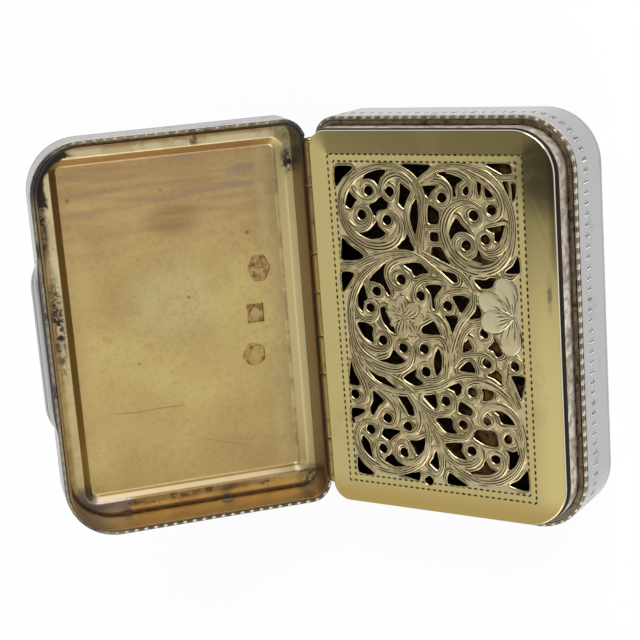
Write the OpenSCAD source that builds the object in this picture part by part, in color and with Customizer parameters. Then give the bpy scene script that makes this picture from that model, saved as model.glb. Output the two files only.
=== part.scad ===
// Pocket vinaigrette: a hinged silver box with a gilt pierced grille over a scented sponge.
// +X runs from the hinge to the thumb-piece, +Y along the hinge, +Z up from the base.
// The lid stands open as at rest; its pieces are drawn closed and then swung about the pin.

/* [Box] */
// Length of the box along the hinge
box_l = 35; // [33:0.5:39]
// Width of the box from back wall to front wall
box_w = 24; // [23:0.5:28]
// Height of the box mouth above the table
mouth_h = 5.7; // [5.4:0.1:8]
// Corner radius at the front of box and lid
corner_front = 4.6; // [3.4:0.1:6]
// Corner radius at the hinge side of box and lid
corner_back = 2; // [1.6:0.1:3]
// Thickness of the base plate
base_t = 0.5; // [0.3:0.05:0.7]
// Thickness of the side band
band_t = 0.75; // [0.6:0.05:0.8]
// Width and height of the beaded strip let into each mouth edge
bead_w = 0.36; // [0.24:0.02:0.44]

/* [Liner] */
// Thickness of the liner sheet
liner_t = 0.4; // [0.25:0.05:0.5]
// Height of the liner above the box mouth
liner_rise = 1.5; // [1.2:0.1:2.2]

/* [Grille] */
// Thickness of the grille plate
grille_t = 0.45; // [0.3:0.05:0.8]
// Setback of the plate's front edge from the liner's outer face
plate_set_front = 0.23; // [0.1:0.01:0.4]
// Setback of the plate's ends from the liner's outer face
plate_set_end = 0.12; // [0.05:0.01:0.3]
// Corner radius at the front of the plate
plate_corner_front = 3.6; // [2.4:0.1:4.2]
// Corner radius at the hinge side of the plate
plate_corner_back = 1.6; // [1:0.1:2.2]
// Plain border between the plate's back edge and the pierced window
border_back = 2.37; // [1.6:0.01:3]
// Plain border between the plate's front edge and the pierced window
border_front = 3.29; // [2.4:0.01:3.6]
// Plain border between the plate's ends and the pierced window
border_end = 2.67; // [2.2:0.01:3.2]
// Diameter of the drilled scroll eyes
eye_d = 0.86; // [0.5:0.02:0.9]

/* [Lid] */
// Depth of the lid from its mouth to the flat border on top
lid_h = 4.1; // [3.4:0.1:5]
// Thickness of the lid's side band
lid_t = 0.55; // [0.5:0.05:0.7]
// Thickness of the lid plate
lid_plate_t = 0.5; // [0.35:0.05:0.7]
// Height by which the panel stands proud of the border
panel_rise = 0.75; // [0.4:0.05:0.8]
// Width of the slope round the panel
panel_slope = 0.55; // [0.3:0.05:0.8]
// Distance from the lid's back to the sunk field inside
field_back = 2; // [1.8:0.1:3]
// Distance from the lid's front to the sunk field inside
field_front = 2.7; // [1.8:0.1:3.4]
// Distance from the lid's ends to the sunk field inside
field_end = 2.57; // [1.8:0.01:3.4]
// Angle of the lid at rest, counted from closed
lid_open = 133.5; // [100:0.5:135]

/* [Thumb-piece] */
// Length of the thumb-piece along the front
thumb_l = 15; // [9:0.5:18]
// Height of the thumb-piece
thumb_h = 1.8; // [1:0.1:2.6]
// Amount by which the thumb-piece stands out
thumb_out = 0.72; // [0.4:0.02:1]
// Length of the tapered stretch at each end
thumb_taper = 1.4; // [0.6:0.1:2.4]

/* [Hinge] */
// Distance of the hinge axis behind the back wall
hinge_out = 0.37; // [0.34:0.01:0.5]
// Outer diameter of the hinge tubes
tube_d = 1.3; // [1.2:0.02:1.4]
// Diameter of the hinge pin
pin_d = 0.64; // [0.5:0.02:0.7]
// Diameter of the riveted heads on the pin
head_d = 1.1; // [0.9:0.02:1.16]
// Thickness of the riveted heads
head_t = 0.25; // [0.1:0.05:0.4]
// Length of each tube on the lid
lid_tube_l = 6; // [4:0.1:7]
// Length of each tube on the grille
grille_tube_l = 3.5; // [2.5:0.1:4.5]
// Length of the middle tube on the box
mid_tube_l = 4; // [3:0.1:5]
// Thickness of the straps that carry the grille
strap_t = 0.45; // [0.3:0.05:0.5]

/* [Sponge] */
// Thickness of the sponge
sponge_t = 2; // [1:0.1:2.2]
// Corner radius of the sponge at the hinge side
sponge_r = 2; // [1:0.1:3]

/* [Clearances] */
// Gap between the closed lid and the box
seam = 0.06; // [0.04:0.01:0.1]
// Solder gap between pieces that are fixed together
solder = 0.03; // [0.02:0.01:0.05]
// Gap between the grille plate and the liner rim
rest_gap = 0.03; // [0.02:0.01:0.06]
// Gap between the grille plate and the closed lid's back wall
plate_clear = 0.075; // [0.06:0.005:0.1]
// Radial clearance of the pin in its tubes
pin_clear = 0.04; // [0.02:0.01:0.06]
// Radial clearance of the tubes in their channel
channel_clear = 0.05; // [0.04:0.01:0.08]
// Gap between neighbouring hinge tubes
tube_gap = 0.1; // [0.06:0.01:0.2]
// Gap round the straps in their notches
notch_gap = 0.1; // [0.06:0.01:0.2]
// Gap round the sponge
sponge_gap = 0.3; // [0.2:0.05:0.5]

/* [Hidden] */
$fn = 64;
hull_fn = 32;
// Overlap that carries a cut through a face
cut = 1;
// Thin slices that a sloping panel is stretched between
skin = 0.01;

// Outlines, as half lengths and X limits
half_l = box_l / 2;
half_w = box_w / 2;
liner_set = band_t + solder;
liner_half_l = half_l - liner_set;
liner_half_w = half_w - liner_set;
liner_top = mouth_h + liner_rise;

// Hinge
axis_x = -half_w - hinge_out;
axis_z = mouth_h;
channel_d = tube_d + 2 * channel_clear;
hinge_l = box_l - 2 * corner_back;
hinge_room_l = hinge_l + 2 * (head_t + tube_gap);
end_tube_l = (hinge_l - mid_tube_l - 2 * lid_tube_l - 2 * grille_tube_l) / 2;
grille_tube_y = mid_tube_l / 2 + grille_tube_l / 2;
lid_tube_y = mid_tube_l / 2 + grille_tube_l + lid_tube_l / 2;
end_tube_y = hinge_l / 2 - end_tube_l / 2;
strap_l = grille_tube_l - tube_gap;
strap_top = mouth_h - seam;
strap_bottom = strap_top - strap_t;
notch_bottom = strap_bottom - notch_gap;
notch_l = strap_l + 2 * notch_gap;

// Grille plate and its pierced window
plate_back = -half_w + lid_t + plate_clear;
plate_front = liner_half_w - plate_set_front;
plate_half_l = liner_half_l - plate_set_end;
plate_z = liner_top + rest_gap;
window_back = plate_back + border_back;
window_w = plate_front - border_front - window_back;
window_half_l = plate_half_l - border_end;
flange_t = strap_t;

// Meeting faces of box and closed lid
box_top = mouth_h - seam / 2;
lid_mouth = mouth_h + seam / 2;

// Lid
ledge_z = mouth_h + lid_h - lid_plate_t;
border_z = mouth_h + lid_h;
field_r = 1;
// Thickness that the stamped slopes add sideways
panel_wall = lid_plate_t / 2;

// The pierced drawing is laid out on a grid of this size, from the window's left edge and middle
drawing_w = 16.7;
drawing_half_l = 13.93;
drawing_left = -9;
// Steps along each side of an opening, and how tightly its curve is drawn
opening_steps = 4;
opening_pull = 0.35;

// Eyes drilled at the hearts of the scrolls
EYES = [
    [-5.8, 11.5], [-3.8, 11.45], [-6.6, 9.45], [-4.2, 9.05], [1.05, 11.05], [3.4, 11.6],
    [5.45, 10.15], [3.85, 9.65], [4.8, 7.7], [3.05, 7.15], [-3.2, 4], [-5.65, 2.85],
    [-6.35, 1.4], [-5.35, -1.45], [-3.4, -2], [-1.4, -1.95], [-1.35, -3.95], [-1.45, 2.65],
    [1.05, 1.95], [4.3, -0.2], [4.4, -2.75], [6.95, -2.8], [-8.5, -6.55], [0.35, -6.4],
    [2.9, -5.4], [1.9, -8.3], [4.05, -7.9], [5.9, -9.2], [4.75, -11.1], [2.55, -10.6],
    [-5.4, -8.45], [-3.45, -9], [-7.15, -9.65], [-6, -11.3], [-3.95, -11.45], [-1.7, -13.75]
];

// Openings sawn between the scrolls, each by the corners and turns of its outline
OPENINGS = [
    [[-8.9, 13.5], [-7.2, 13.5], [-8.2, 12.6], [-9, 11.8]],
    [[-6.4, 12.45], [-5.5, 13.2], [-4, 13.25], [-4.6, 12.6], [-4.85, 11.95], [-5.2, 12.3], [-5.8, 12.55]],
    [[-7.6, 11.95], [-7.95, 11.2], [-8.1, 10.2], [-7.6, 9.95], [-7.2, 10.5], [-6.9, 10.85], [-7.4, 11.3]],
    [[-5.8, 10.35], [-5, 10.8], [-4.5, 11.1], [-4, 10.6], [-4.2, 10], [-5, 9.85], [-5.3, 9.3],
     [-5.7, 9.8]],
    [[-7.2, 7.8], [-6.2, 8], [-5.6, 8.5], [-5.2, 8.95], [-5, 8.5], [-4.4, 7.9], [-5, 7.5], [-6, 7.35],
     [-6.8, 7.5]],
    [[-2.75, 12.2], [-2.3, 11.9], [-1.8, 11.5], [-2.05, 10.8], [-2.4, 10], [-3, 10.5], [-2.85, 11.4]],
    [[-1.3, 10.9], [-1.2, 9.5], [-1.45, 8.3], [-1.7, 7.9], [-2.05, 9.2], [-1.8, 10.3]],
    [[-2.3, 8.2], [-2.6, 7.5], [-3.4, 6.7], [-1.8, 6.5], [-2.1, 7.3]],
    [[-8.7, 7.4], [-8, 6.8], [-6.7, 5.9], [-7.5, 5.5], [-8.9, 5.45], [-8.85, 6.5]],
    [[-2.5, 13.75], [0.1, 13.7], [-0.6, 13], [-1.25, 12.5], [-1.7, 12.8]],
    [[-0.9, 11.9], [0.6, 12.05], [0.1, 11.5], [-0.2, 11], [-0.5, 11.3]],
    [[0.7, 13.05], [1.5, 13.2], [2.4, 13], [3, 12.55], [2.5, 12.2], [2.3, 11.6], [2.35, 11.2],
     [1.95, 11.3], [1.9, 12.1], [1.3, 12.75]],
    [[-0.25, 10.4], [0.45, 10.1], [0.7, 9.8], [0.6, 8.9], [-0.35, 8.9]],
    [[-0.2, 8.1], [0.5, 8.1], [0.5, 7.4], [-0.2, 7.4]],
    [[-0.1, 6.9], [0.7, 6.9], [1, 6.4], [1.5, 5.4], [0.5, 5.85], [-0.25, 6]],
    [[4.3, 12.8], [4.6, 12.6], [4.65, 11.9], [4.4, 11.2], [4.25, 11.9]],
    [[4.9, 12.15], [5.7, 11.3], [5, 11.15]],
    [[2.2, 9.4], [2.7, 8.9], [3.4, 8.2], [3.6, 7.95], [2.6, 8.05], [1.5, 7.6], [1.65, 8.5]],
    [[4.9, 8.6], [5.6, 8.75], [6.6, 8.9], [6.4, 8.2], [6, 7.5], [5.6, 7.6], [5.6, 8.2], [5.2, 8.35]],
    [[4.1, 6.85], [4.4, 6.3], [5, 6], [5.7, 5.85], [5.2, 5.6], [4, 5.6], [3.3, 5.8], [3.9, 6.3]],
    [[5.1, 13.85], [7.1, 13.9], [7.4, 13.2], [6.6, 13.05], [6, 13.35]],
    [[6.5, 12.4], [6.95, 12.5], [7.05, 11.9], [7, 11.2], [6.8, 11.7]],
    [[7.25, 12.3], [7.7, 12.3], [7.6, 11.2], [7.3, 10.9], [7.3, 11.6]],
    [[7.6, 6.4], [7.7, 5.05], [6.4, 5], [7.1, 5.6]],
    [[0.5, 5], [1.1, 4.85], [1.9, 4.7], [2.1, 4.1], [1.7, 3.95], [1, 4.5]],
    [[3.6, 4.3], [4.6, 4.3], [5, 4.5], [5.6, 4.5], [5.5, 4], [4.8, 3.6], [4.1, 3.6]],
    [[-9, 4.3], [-7.8, 4.3], [-8.4, 3.3], [-9, 2.65]],
    [[-4.6, 5.3], [-5.2, 4.85], [-6, 4.2], [-6.3, 3.75], [-5.6, 3.6], [-5, 3.2], [-4.5, 2.5],
     [-4.3, 2.8], [-4.7, 3.7], [-4.85, 4.5]],
    [[-2.9, 5.3], [-1.8, 5.5], [-1.2, 5.4], [-0.6, 4.7], [-1.3, 4.55], [-1.9, 4.3], [-2.2, 4.8]],
    [[-6.9, 3.4], [-7.5, 2.5], [-7.6, 1.5], [-7.2, 0.95], [-6.95, 1.6], [-6.6, 2.1], [-6.7, 2.7]],
    [[-5.4, 1.4], [-4.9, 1.5], [-4.8, 0.9], [-4.3, 0], [-4, -0.8], [-4.6, -0.6], [-5.1, 0], [-5.35, 0.5]],
    [[-1, 3.5], [-0.2, 3.7], [0.6, 3.6], [0.1, 2.9], [-0.2, 2.4], [-0.1, 1.55], [-0.4, 1.7], [-0.5, 2.8]],
    [[-7.8, -0.1], [-6.9, 0], [-6.25, -0.4], [-6.35, -1], [-6.3, -1.75], [-7.2, -1.3]],
    [[-1.5, -0.1], [-0.8, 0.3], [-0.3, 0.5], [0.2, -0.6], [-0.6, -0.65], [-1.5, -0.6]],
    [[1.5, 2.75], [2.4, 2.9], [3.1, 2.6], [2.7, 1.9], [2.2, 1.35], [1.9, 1.9]],
    [[0.7, 1.1], [1.9, 1.1], [1.7, 0.2], [1.3, -0.4], [1.1, 0.3]],
    [[3.6, 2.3], [4, 1.9], [4.05, 1.15], [3, 0.95], [3.3, 1.55]],
    [[-4.4, -2.2], [-3.9, -2.65], [-3.3, -3.2], [-4.3, -3.6], [-5.9, -3.4], [-4.9, -3]],
    [[-0.1, -1.8], [0.2, -2.5], [0.1, -3.6], [-0.4, -4.3], [-0.6, -3.4], [-0.5, -2.6]],
    [[-2.3, -3.8], [-2.4, -4.4], [-1.7, -5], [-2.5, -5.3], [-3.6, -4.7]],
    [[-7, -4.1], [-5.8, -4.5], [-5.2, -5], [-4.3, -5.7], [-5.6, -5.4], [-6.4, -5]],
    [[-8.7, -3.5], [-8.5, -4.2], [-8.1, -5], [-8, -5.7], [-8.95, -5.7], [-8.95, -4.8]],
    [[-6.7, -6.1], [-6.3, -6.3], [-5.65, -6.9], [-6.2, -7.4], [-6.9, -8.4], [-7.1, -7.7], [-6.75, -7]],
    [[-4.3, -6.3], [-3.2, -6.3], [-2.9, -7], [-2.75, -7.95], [-3.3, -8], [-3.55, -7.5], [-4, -6.8]],
    [[-8.95, -7.9], [-7.6, -7.9], [-8.2, -8.6], [-8.95, -9.2]],
    [[-5.8, -9.45], [-4.2, -9.5], [-5, -10.1], [-5.4, -10.5], [-6.1, -10.1]],
    [[-3.4, -10.3], [-2.5, -10.2], [-1.6, -9.8], [-1.9, -10.8], [-2.7, -11.6], [-3, -11]],
    [[-8, -10.3], [-7.4, -10.9], [-7.2, -12.3], [-7.8, -11.9], [-8.2, -11]],
    [[-5.3, -11.7], [-4.6, -12.2], [-3.6, -12.8], [-5, -12.9], [-6, -12.45]],
    [[-8.7, -12.3], [-8.1, -12.95], [-7.1, -13.8], [-8.7, -13.8]],
    [[-4.4, -13.5], [-3.2, -13.2], [-2.5, -13.1], [-2.65, -13.85], [-3.1, -13.85]],
    [[-0.85, -10.9], [-0.65, -11.8], [-0.7, -12.8], [-1.5, -12.2], [-1.2, -11.7]],
    [[-0.6, -5.9], [-1.1, -6], [-1.8, -6.2], [-0.8, -7.2], [-0.45, -6.8]],
    [[0.6, -5.2], [1.7, -4.7], [2, -5.3], [1.4, -5.9], [1.2, -5.5]],
    [[1.7, -6.3], [2.8, -6.9], [2.6, -7.5], [1.5, -7.3]],
    [[-0.7, -8.05], [0.8, -7.9], [0.9, -8.7], [1.3, -9.2], [0.2, -9.2], [-0.4, -8.6]],
    [[3.1, -8.7], [4.8, -8.7], [5, -10], [3.7, -9.9], [2.8, -9.4]],
    [[4.8, -6.9], [5.6, -6.8], [6.4, -7.2], [6.8, -7.9], [5.5, -7.9], [5.2, -7.2]],
    [[3.8, -5], [4.9, -5.2], [4.7, -5.8], [3.8, -6.1], [3.9, -5.5]],
    [[0.1, -10.2], [1.7, -10], [1.6, -10.7], [2.1, -11.5], [1, -11.3], [0.4, -10.8]],
    [[6.9, -10.1], [7, -10.8], [6.4, -11.6], [5.9, -11.9], [6, -10.7], [5.7, -10.2], [6.4, -10.3]],
    [[3.8, -11.3], [4.2, -11.9], [4.8, -12.2], [4.2, -12.7], [2.2, -12.6], [3, -12.3], [3.5, -11.9]],
    [[7.6, -11.8], [7.6, -13.6], [5.9, -13.3], [6.8, -12.7]],
    [[0.3, -12.8], [1.2, -13.3], [2, -13.85], [0.1, -13.85]],
    [[1.8, -3.6], [3.2, -3.7], [3.2, -3.2], [2.8, -2.7], [2.3, -3]],
    [[4.3, -3.8], [5.2, -3.3], [5.6, -3.7], [5.6, -4.5], [5, -4.1]],
    [[5, -0.2], [5.1, -0.8], [4.5, -1.5], [5, -1.7], [5.3, -2.2], [5.9, -1.8], [5.6, -1.2]],
    [[2.8, -0.8], [2.3, -1.3], [1.9, -2], [2.5, -1.9], [3.1, -1.6], [2.9, -1.1]],
    [[6.5, -3.7], [7.7, -3.7], [7.6, -4.7], [7.3, -5.6], [6.9, -4.6]]
];

silver = "#c8c6c0";
gilt = "#cbb877";
sponge_brown = "#7a5a35";

// Place of a drawing point on the plate
function on_plate(p) = [
    window_back + (p.x - drawing_left) * window_w / drawing_w,
    p.y * window_half_l / drawing_half_l
];

// Point at share t of the way from b to c on a curve that also looks at a and d
function curve_point(a, b, c, d, t) =
    (2 * t ^ 3 - 3 * t ^ 2 + 1) * b
    + (t ^ 3 - 2 * t ^ 2 + t) * opening_pull * (c - a)
    + (3 * t ^ 2 - 2 * t ^ 3) * c
    + (t ^ 3 - t ^ 2) * opening_pull * (d - b);

// Closed smooth outline through an opening's points
function smooth_loop(points) = let (n = len(points)) [
    for (i = [0 : n - 1], s = [0 : opening_steps - 1])
        let (before = points[(i + n - 1) % n], from = points[i])
        let (to = points[(i + 1) % n], after = points[(i + 2) % n])
        curve_point(before, from, to, after, s / opening_steps)
];

// Rounded outline between two X limits, with its own radius at back and front
module outline(x_back, x_front, half, r_back, r_front) {
    translate([x_back + r_back, -half]) square([x_front - r_front - x_back - r_back, 2 * half]);
    translate([x_back, -half + r_back]) square([r_back, 2 * (half - r_back)]);
    translate([x_front - r_front, -half + r_front]) square([r_front, 2 * (half - r_front)]);
    for (side = [-1, 1]) {
        translate([x_back + r_back, side * (half - r_back)]) circle(r = r_back);
        translate([x_front - r_front, side * (half - r_front)]) circle(r = r_front);
    }
}

// The box outline drawn in by an inset
module box_outline(inset = 0) {
    outline(-half_w + inset, half_w - inset, half_l - inset, corner_back - inset, corner_front - inset);
}

module box_ring(outer_inset, inner_inset, z, h) {
    translate([0, 0, z]) linear_extrude(h) difference() {
        box_outline(outer_inset);
        box_outline(inner_inset);
    }
}

// Round bar along the hinge axis
module hinge_bar(d, l, y = 0) {
    translate([axis_x, y, axis_z]) rotate([90, 0, 0]) cylinder(d = d, h = l, center = true);
}

module hinge_tube(l, y) {
    difference() {
        hinge_bar(tube_d, l - tube_gap, y);
        hinge_bar(pin_d + 2 * pin_clear, l + cut, y);
    }
}

// Channel for the hinge tubes and pin heads along the back wall of box and lid
module hinge_channel() {
    hinge_bar(channel_d, hinge_room_l);
}

// Run of the beaded strip: round the mouth, but not along the hinge
module bead_run(outer_inset, inner_inset, z, h) {
    difference() {
        box_ring(outer_inset, inner_inset, z, h);
        translate([-half_w - cut, -hinge_room_l / 2, z - cut])
            cube([corner_back + cut, hinge_room_l, h + 2 * cut]);
    }
}

// Notches in the back walls for the grille straps
module strap_notches() {
    for (side = [-1, 1])
        translate([axis_x, side * grille_tube_y - notch_l / 2, notch_bottom])
            cube([plate_back + flange_t + cut - axis_x, notch_l, liner_top + cut - notch_bottom]);
}

// Swings a closed piece of the lid to its place at rest
module lid_swing() {
    translate([axis_x, 0, axis_z]) rotate([0, -lid_open, 0]) translate([-axis_x, 0, -axis_z]) children();
}

// Flat base soldered under the side band
module base_plate() {
    color(silver) linear_extrude(base_t) box_outline();
}

// Side wall of the box, with a rebate for its beaded strip
module side_band() {
    color(silver) difference() {
        box_ring(0, band_t, base_t, box_top - base_t);
        bead_run(-cut, bead_w, box_top - bead_w, bead_w + cut);
        hinge_channel();
        strap_notches();
    }
}

// Beaded strip round the mouth of the box
module mouth_bead() {
    color(silver) bead_run(0, bead_w - solder, box_top - bead_w, bead_w);
}

// Gilt inner wall that stands up out of the box and carries the grille
module liner() {
    color(gilt) difference() {
        box_ring(liner_set, liner_set + liner_t, base_t, liner_top - base_t);
        strap_notches();
    }
}

// Sponge that holds the scented vinegar
module sponge() {
    inset = liner_set + liner_t + sponge_gap;
    color(sponge_brown) translate([0, 0, base_t + solder]) linear_extrude(sponge_t)
        outline(-half_w + inset, half_w - inset, half_l - inset, sponge_r, corner_front - inset);
}

module box_tube_left() {
    color(silver) hinge_tube(end_tube_l, -end_tube_y);
}

module box_tube_middle() {
    color(silver) hinge_tube(mid_tube_l, 0);
}

module box_tube_right() {
    color(silver) hinge_tube(end_tube_l, end_tube_y);
}

// Hinge pin, riveted over at both ends
module hinge_pin() {
    color(silver) {
        hinge_bar(pin_d, hinge_l);
        for (side = [-1, 1]) hinge_bar(head_d, head_t, side * (hinge_l + head_t) / 2);
    }
}

// Pierced plate over the sponge
module grille_plate() {
    color(gilt) translate([0, 0, plate_z]) linear_extrude(grille_t) difference() {
        outline(plate_back, plate_front, plate_half_l, plate_corner_back, plate_corner_front);
        for (o = OPENINGS) polygon([for (p = smooth_loop(o)) on_plate(p)]);
        for (e = EYES) translate(on_plate(e)) circle(d = eye_d, $fn = 24);
    }
}

// Hinge tube with the strap and turned-up flange that carry the plate
module grille_strap(y) {
    color(gilt) difference() {
        union() {
            hinge_bar(tube_d, strap_l, y);
            translate([axis_x, y - strap_l / 2, strap_bottom])
                cube([plate_back + flange_t - axis_x, strap_l, strap_t]);
            translate([plate_back, y - strap_l / 2, strap_bottom])
                cube([flange_t, strap_l, plate_z - strap_bottom]);
        }
        hinge_bar(pin_d + 2 * pin_clear, strap_l + cut, y);
    }
}

module grille_strap_left() {
    grille_strap(-grille_tube_y);
}

module grille_strap_right() {
    grille_strap(grille_tube_y);
}

// Side wall of the lid, with a rebate for its beaded strip
module lid_band() {
    color(silver) lid_swing() difference() {
        box_ring(0, lid_t, lid_mouth, ledge_z - lid_mouth);
        bead_run(-cut, bead_w, lid_mouth - cut, bead_w + cut);
        hinge_channel();
    }
}

// Sunk field of the lid drawn out by a margin
module field_outline(margin = 0) {
    outline(-half_w + field_back - margin, half_w - field_front + margin, half_l - field_end + margin,
        field_r + margin, field_r + margin, $fn = hull_fn);
}

// A flat-topped panel with sloping sides
module panel(margin_low, margin_high, z_low, z_high) {
    hull() {
        translate([0, 0, z_low]) linear_extrude(skin) field_outline(margin_low);
        translate([0, 0, z_high - skin]) linear_extrude(skin) field_outline(margin_high);
    }
}

// Stamped lid plate: a flat border round a raised panel that is hollow inside
module lid_plate() {
    color(silver) lid_swing() difference() {
        union() {
            translate([0, 0, ledge_z]) linear_extrude(lid_plate_t) box_outline();
            panel(panel_slope + panel_wall, panel_wall, border_z - panel_wall, border_z + panel_rise);
        }
        panel(panel_slope, 0, ledge_z, ledge_z + panel_rise);
        translate([0, 0, ledge_z - cut]) linear_extrude(cut + skin) field_outline(panel_slope);
    }
}

// Beaded strip round the mouth of the lid
module lid_bead() {
    color(silver) lid_swing() bead_run(0, bead_w - solder, lid_mouth, bead_w);
}

module lid_tube_left() {
    color(silver) lid_swing() hinge_tube(lid_tube_l, -lid_tube_y);
}

module lid_tube_right() {
    color(silver) lid_swing() hinge_tube(lid_tube_l, lid_tube_y);
}

// Lip on the front of the lid for the thumbnail
module thumb_piece() {
    lift = bead_w + solder;
    color(silver) lid_swing() translate([half_w + solder, 0, lid_mouth + lift]) linear_extrude(thumb_h)
        polygon([
            [0, -thumb_l / 2],
            [thumb_out, -thumb_l / 2 + thumb_taper],
            [thumb_out, thumb_l / 2 - thumb_taper],
            [0, thumb_l / 2]
        ]);
}

base_plate();
side_band();
mouth_bead();
liner();
sponge();
box_tube_left();
box_tube_middle();
box_tube_right();
hinge_pin();
grille_plate();
grille_strap_left();
grille_strap_right();
lid_band();
lid_plate();
lid_bead();
lid_tube_left();
lid_tube_right();
thumb_piece();
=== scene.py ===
import math

import bmesh
import bpy
from mathutils import Matrix, Vector, kdtree, noise


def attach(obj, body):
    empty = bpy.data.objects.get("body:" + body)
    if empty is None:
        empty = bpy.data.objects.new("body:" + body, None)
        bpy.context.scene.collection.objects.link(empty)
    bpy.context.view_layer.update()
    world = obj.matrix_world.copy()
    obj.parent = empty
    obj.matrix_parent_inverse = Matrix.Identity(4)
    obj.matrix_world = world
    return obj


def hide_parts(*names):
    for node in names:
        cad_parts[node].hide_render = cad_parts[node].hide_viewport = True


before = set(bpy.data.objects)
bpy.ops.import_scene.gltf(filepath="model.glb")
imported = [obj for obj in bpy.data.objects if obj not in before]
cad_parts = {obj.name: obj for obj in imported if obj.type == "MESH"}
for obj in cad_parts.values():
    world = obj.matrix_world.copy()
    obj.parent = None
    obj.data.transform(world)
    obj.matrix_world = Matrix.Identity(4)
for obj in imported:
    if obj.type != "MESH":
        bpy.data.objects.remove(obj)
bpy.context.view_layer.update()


# Side band: the wall of the box, one strip of sheet silver bent round and soldered at the back.
# Two rows of small notches are rolled into it with a milling wheel, and its upper edge is cut
# back to take a beaded strip. The hinge lies in a round channel along the back edge.
MM = 0.001
half_l = 17.5
half_w = 12.0
corner_front = 4.6
corner_back = 2.0
corner_least = 0.3
base_t = 0.5
band_t = 0.75
band_edge = 0.05
box_top = 5.67
bead_w = 0.36
axis_x = -12.37
axis_z = 5.7
channel_r = 0.7
hinge_room = 31.7
strap_y = 3.75
notch_l = 3.6
notch_bottom = 5.09
notch_top = 8.2
notch_front = -9.9
milled_pitch = 0.885
milled_size = (0.5, 0.34, 0.34)
milled_rows = (3.48, 3.92)
ledge_height = 5.5
ledge_blend = 0.12

arc_steps = 14
round_steps = 4
round_share = 0.35
turned_sides = 40
guard = 0.12
guard_reach = 1.3
sharp = math.radians(40)
weld = 1e-7

silver_bright = (0.445, 0.445, 0.44)
silver_grey = (0.35, 0.34, 0.32)
ledge_grey = (0.24, 0.19, 0.135)
ledge_brown = (0.075, 0.053, 0.036)
# The milled notches' cut faces take a darker silver than the wall: painted shade in the notches.
milled_shade_grey = (0.30, 0.30, 0.29)
milled_shade_dark = (0.12, 0.115, 0.11)


def outline(x_back, x_front, half, r_back, r_front):
    """Rounded oblong, counterclockwise, with a guard point on the straight beside each arc."""
    corners = (
        (x_front - r_front, half - r_front, r_front),
        (x_back + r_back, half - r_back, r_back),
        (x_back + r_back, r_back - half, r_back),
        (x_front - r_front, r_front - half, r_front),
    )
    points = []
    for turn, (x, y, r) in enumerate(corners):
        start = turn * math.pi / 2
        end = start + math.pi / 2
        points.append((x + r * math.cos(start) + guard * math.sin(start),
                       y + r * math.sin(start) - guard * math.cos(start)))
        for step in range(arc_steps + 1):
            angle = start + (end - start) * step / arc_steps
            points.append((x + r * math.cos(angle), y + r * math.sin(angle)))
        points.append((x + r * math.cos(end) - guard * math.sin(end),
                       y + r * math.sin(end) + guard * math.cos(end)))
    return points


def box_outline(inset):
    """The outline of box and lid, drawn in by an inset."""
    return outline(inset - half_w, half_w - inset, half_l - inset,
                   max(corner_back - inset, corner_least), corner_front - inset)


def rings(shape, section):
    """Level rings of an outline, one for each (inset, height) of a section."""
    return [[(x, y, z) for x, y in shape(inset)] for inset, z in section]


def soften(corners, radius, closed=True):
    """A section with each corner rounded off, and a guard point on the flat beside each round."""
    soft = []
    count = len(corners)
    for i, corner in enumerate(corners):
        here = Vector(corner)
        if not closed and i in (0, count - 1):
            soft.append(here)
            continue
        before = Vector(corners[i - 1]) - here
        after = Vector(corners[(i + 1) % count]) - here
        reach = min(radius, before.length * round_share, after.length * round_share)
        before.normalize()
        after.normalize()
        soft.append(here + before * reach * guard_reach)
        for step in range(round_steps + 1):
            t = step / round_steps
            soft.append(here + before * reach * (1 - t) ** 2 + after * reach * t ** 2)
        soft.append(here + after * reach * guard_reach)
    return [tuple(p) for p in soft]


def loft(sections, closed):
    """Points and faces of a skin through rings; it closes on itself, or is capped at both ends."""
    count = len(sections[0])
    points = [point for ring in sections for point in ring]
    faces = []
    for i in range(len(sections) if closed else len(sections) - 1):
        near = i * count
        far = (i + 1) % len(sections) * count
        for j in range(count):
            k = (j + 1) % count
            faces.append((near + j, near + k, far + k, far + j))
    if not closed:
        faces.append(tuple(reversed(range(count))))
        faces.append(tuple(range(len(points) - count, len(points))))
    return points, faces


def show(name, data):
    """A new object in the scene."""
    made = bpy.data.objects.new(name, data)
    bpy.context.collection.objects.link(made)
    return made


def new_mesh(name, points, edges=(), faces=()):
    """A mesh from points in millimetres."""
    mesh = bpy.data.meshes.new(name)
    mesh.from_pydata([Vector(point) * MM for point in points], edges, faces)
    return mesh


def mark(mesh, name, values):
    """Notes a number for every point of a mesh."""
    mesh.attributes.new(name, "FLOAT", "POINT").data.foreach_set("value", values)


def clean(mesh, *finishes):
    """Joins points that lie together, turns the faces outwards, and gives finish and shading."""
    work = bmesh.new()
    work.from_mesh(mesh)
    bmesh.ops.remove_doubles(work, verts=work.verts, dist=weld)
    bmesh.ops.recalc_face_normals(work, faces=work.faces)
    work.to_mesh(mesh)
    work.free()
    mesh.materials.clear()
    for finish in finishes:
        mesh.materials.append(finish)
    shade(mesh)


def shade(mesh):
    """Smooth shading, with the sharp edges kept."""
    mesh.shade_smooth()
    mesh.set_sharp_from_angle(angle=sharp)


def make_piece(name, points, faces, *finishes):
    """A mesh piece from points in millimetres, with its faces turned outwards."""
    mesh = new_mesh(name, points, (), faces)
    clean(mesh, *finishes)
    return show(name, mesh)


def settle(piece):
    """Turns a piece's modifiers into its own mesh."""
    seen = piece.evaluated_get(bpy.context.evaluated_depsgraph_get())
    mesh = bpy.data.meshes.new_from_object(seen)
    piece.modifiers.clear()
    piece.data = mesh
    return piece


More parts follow.
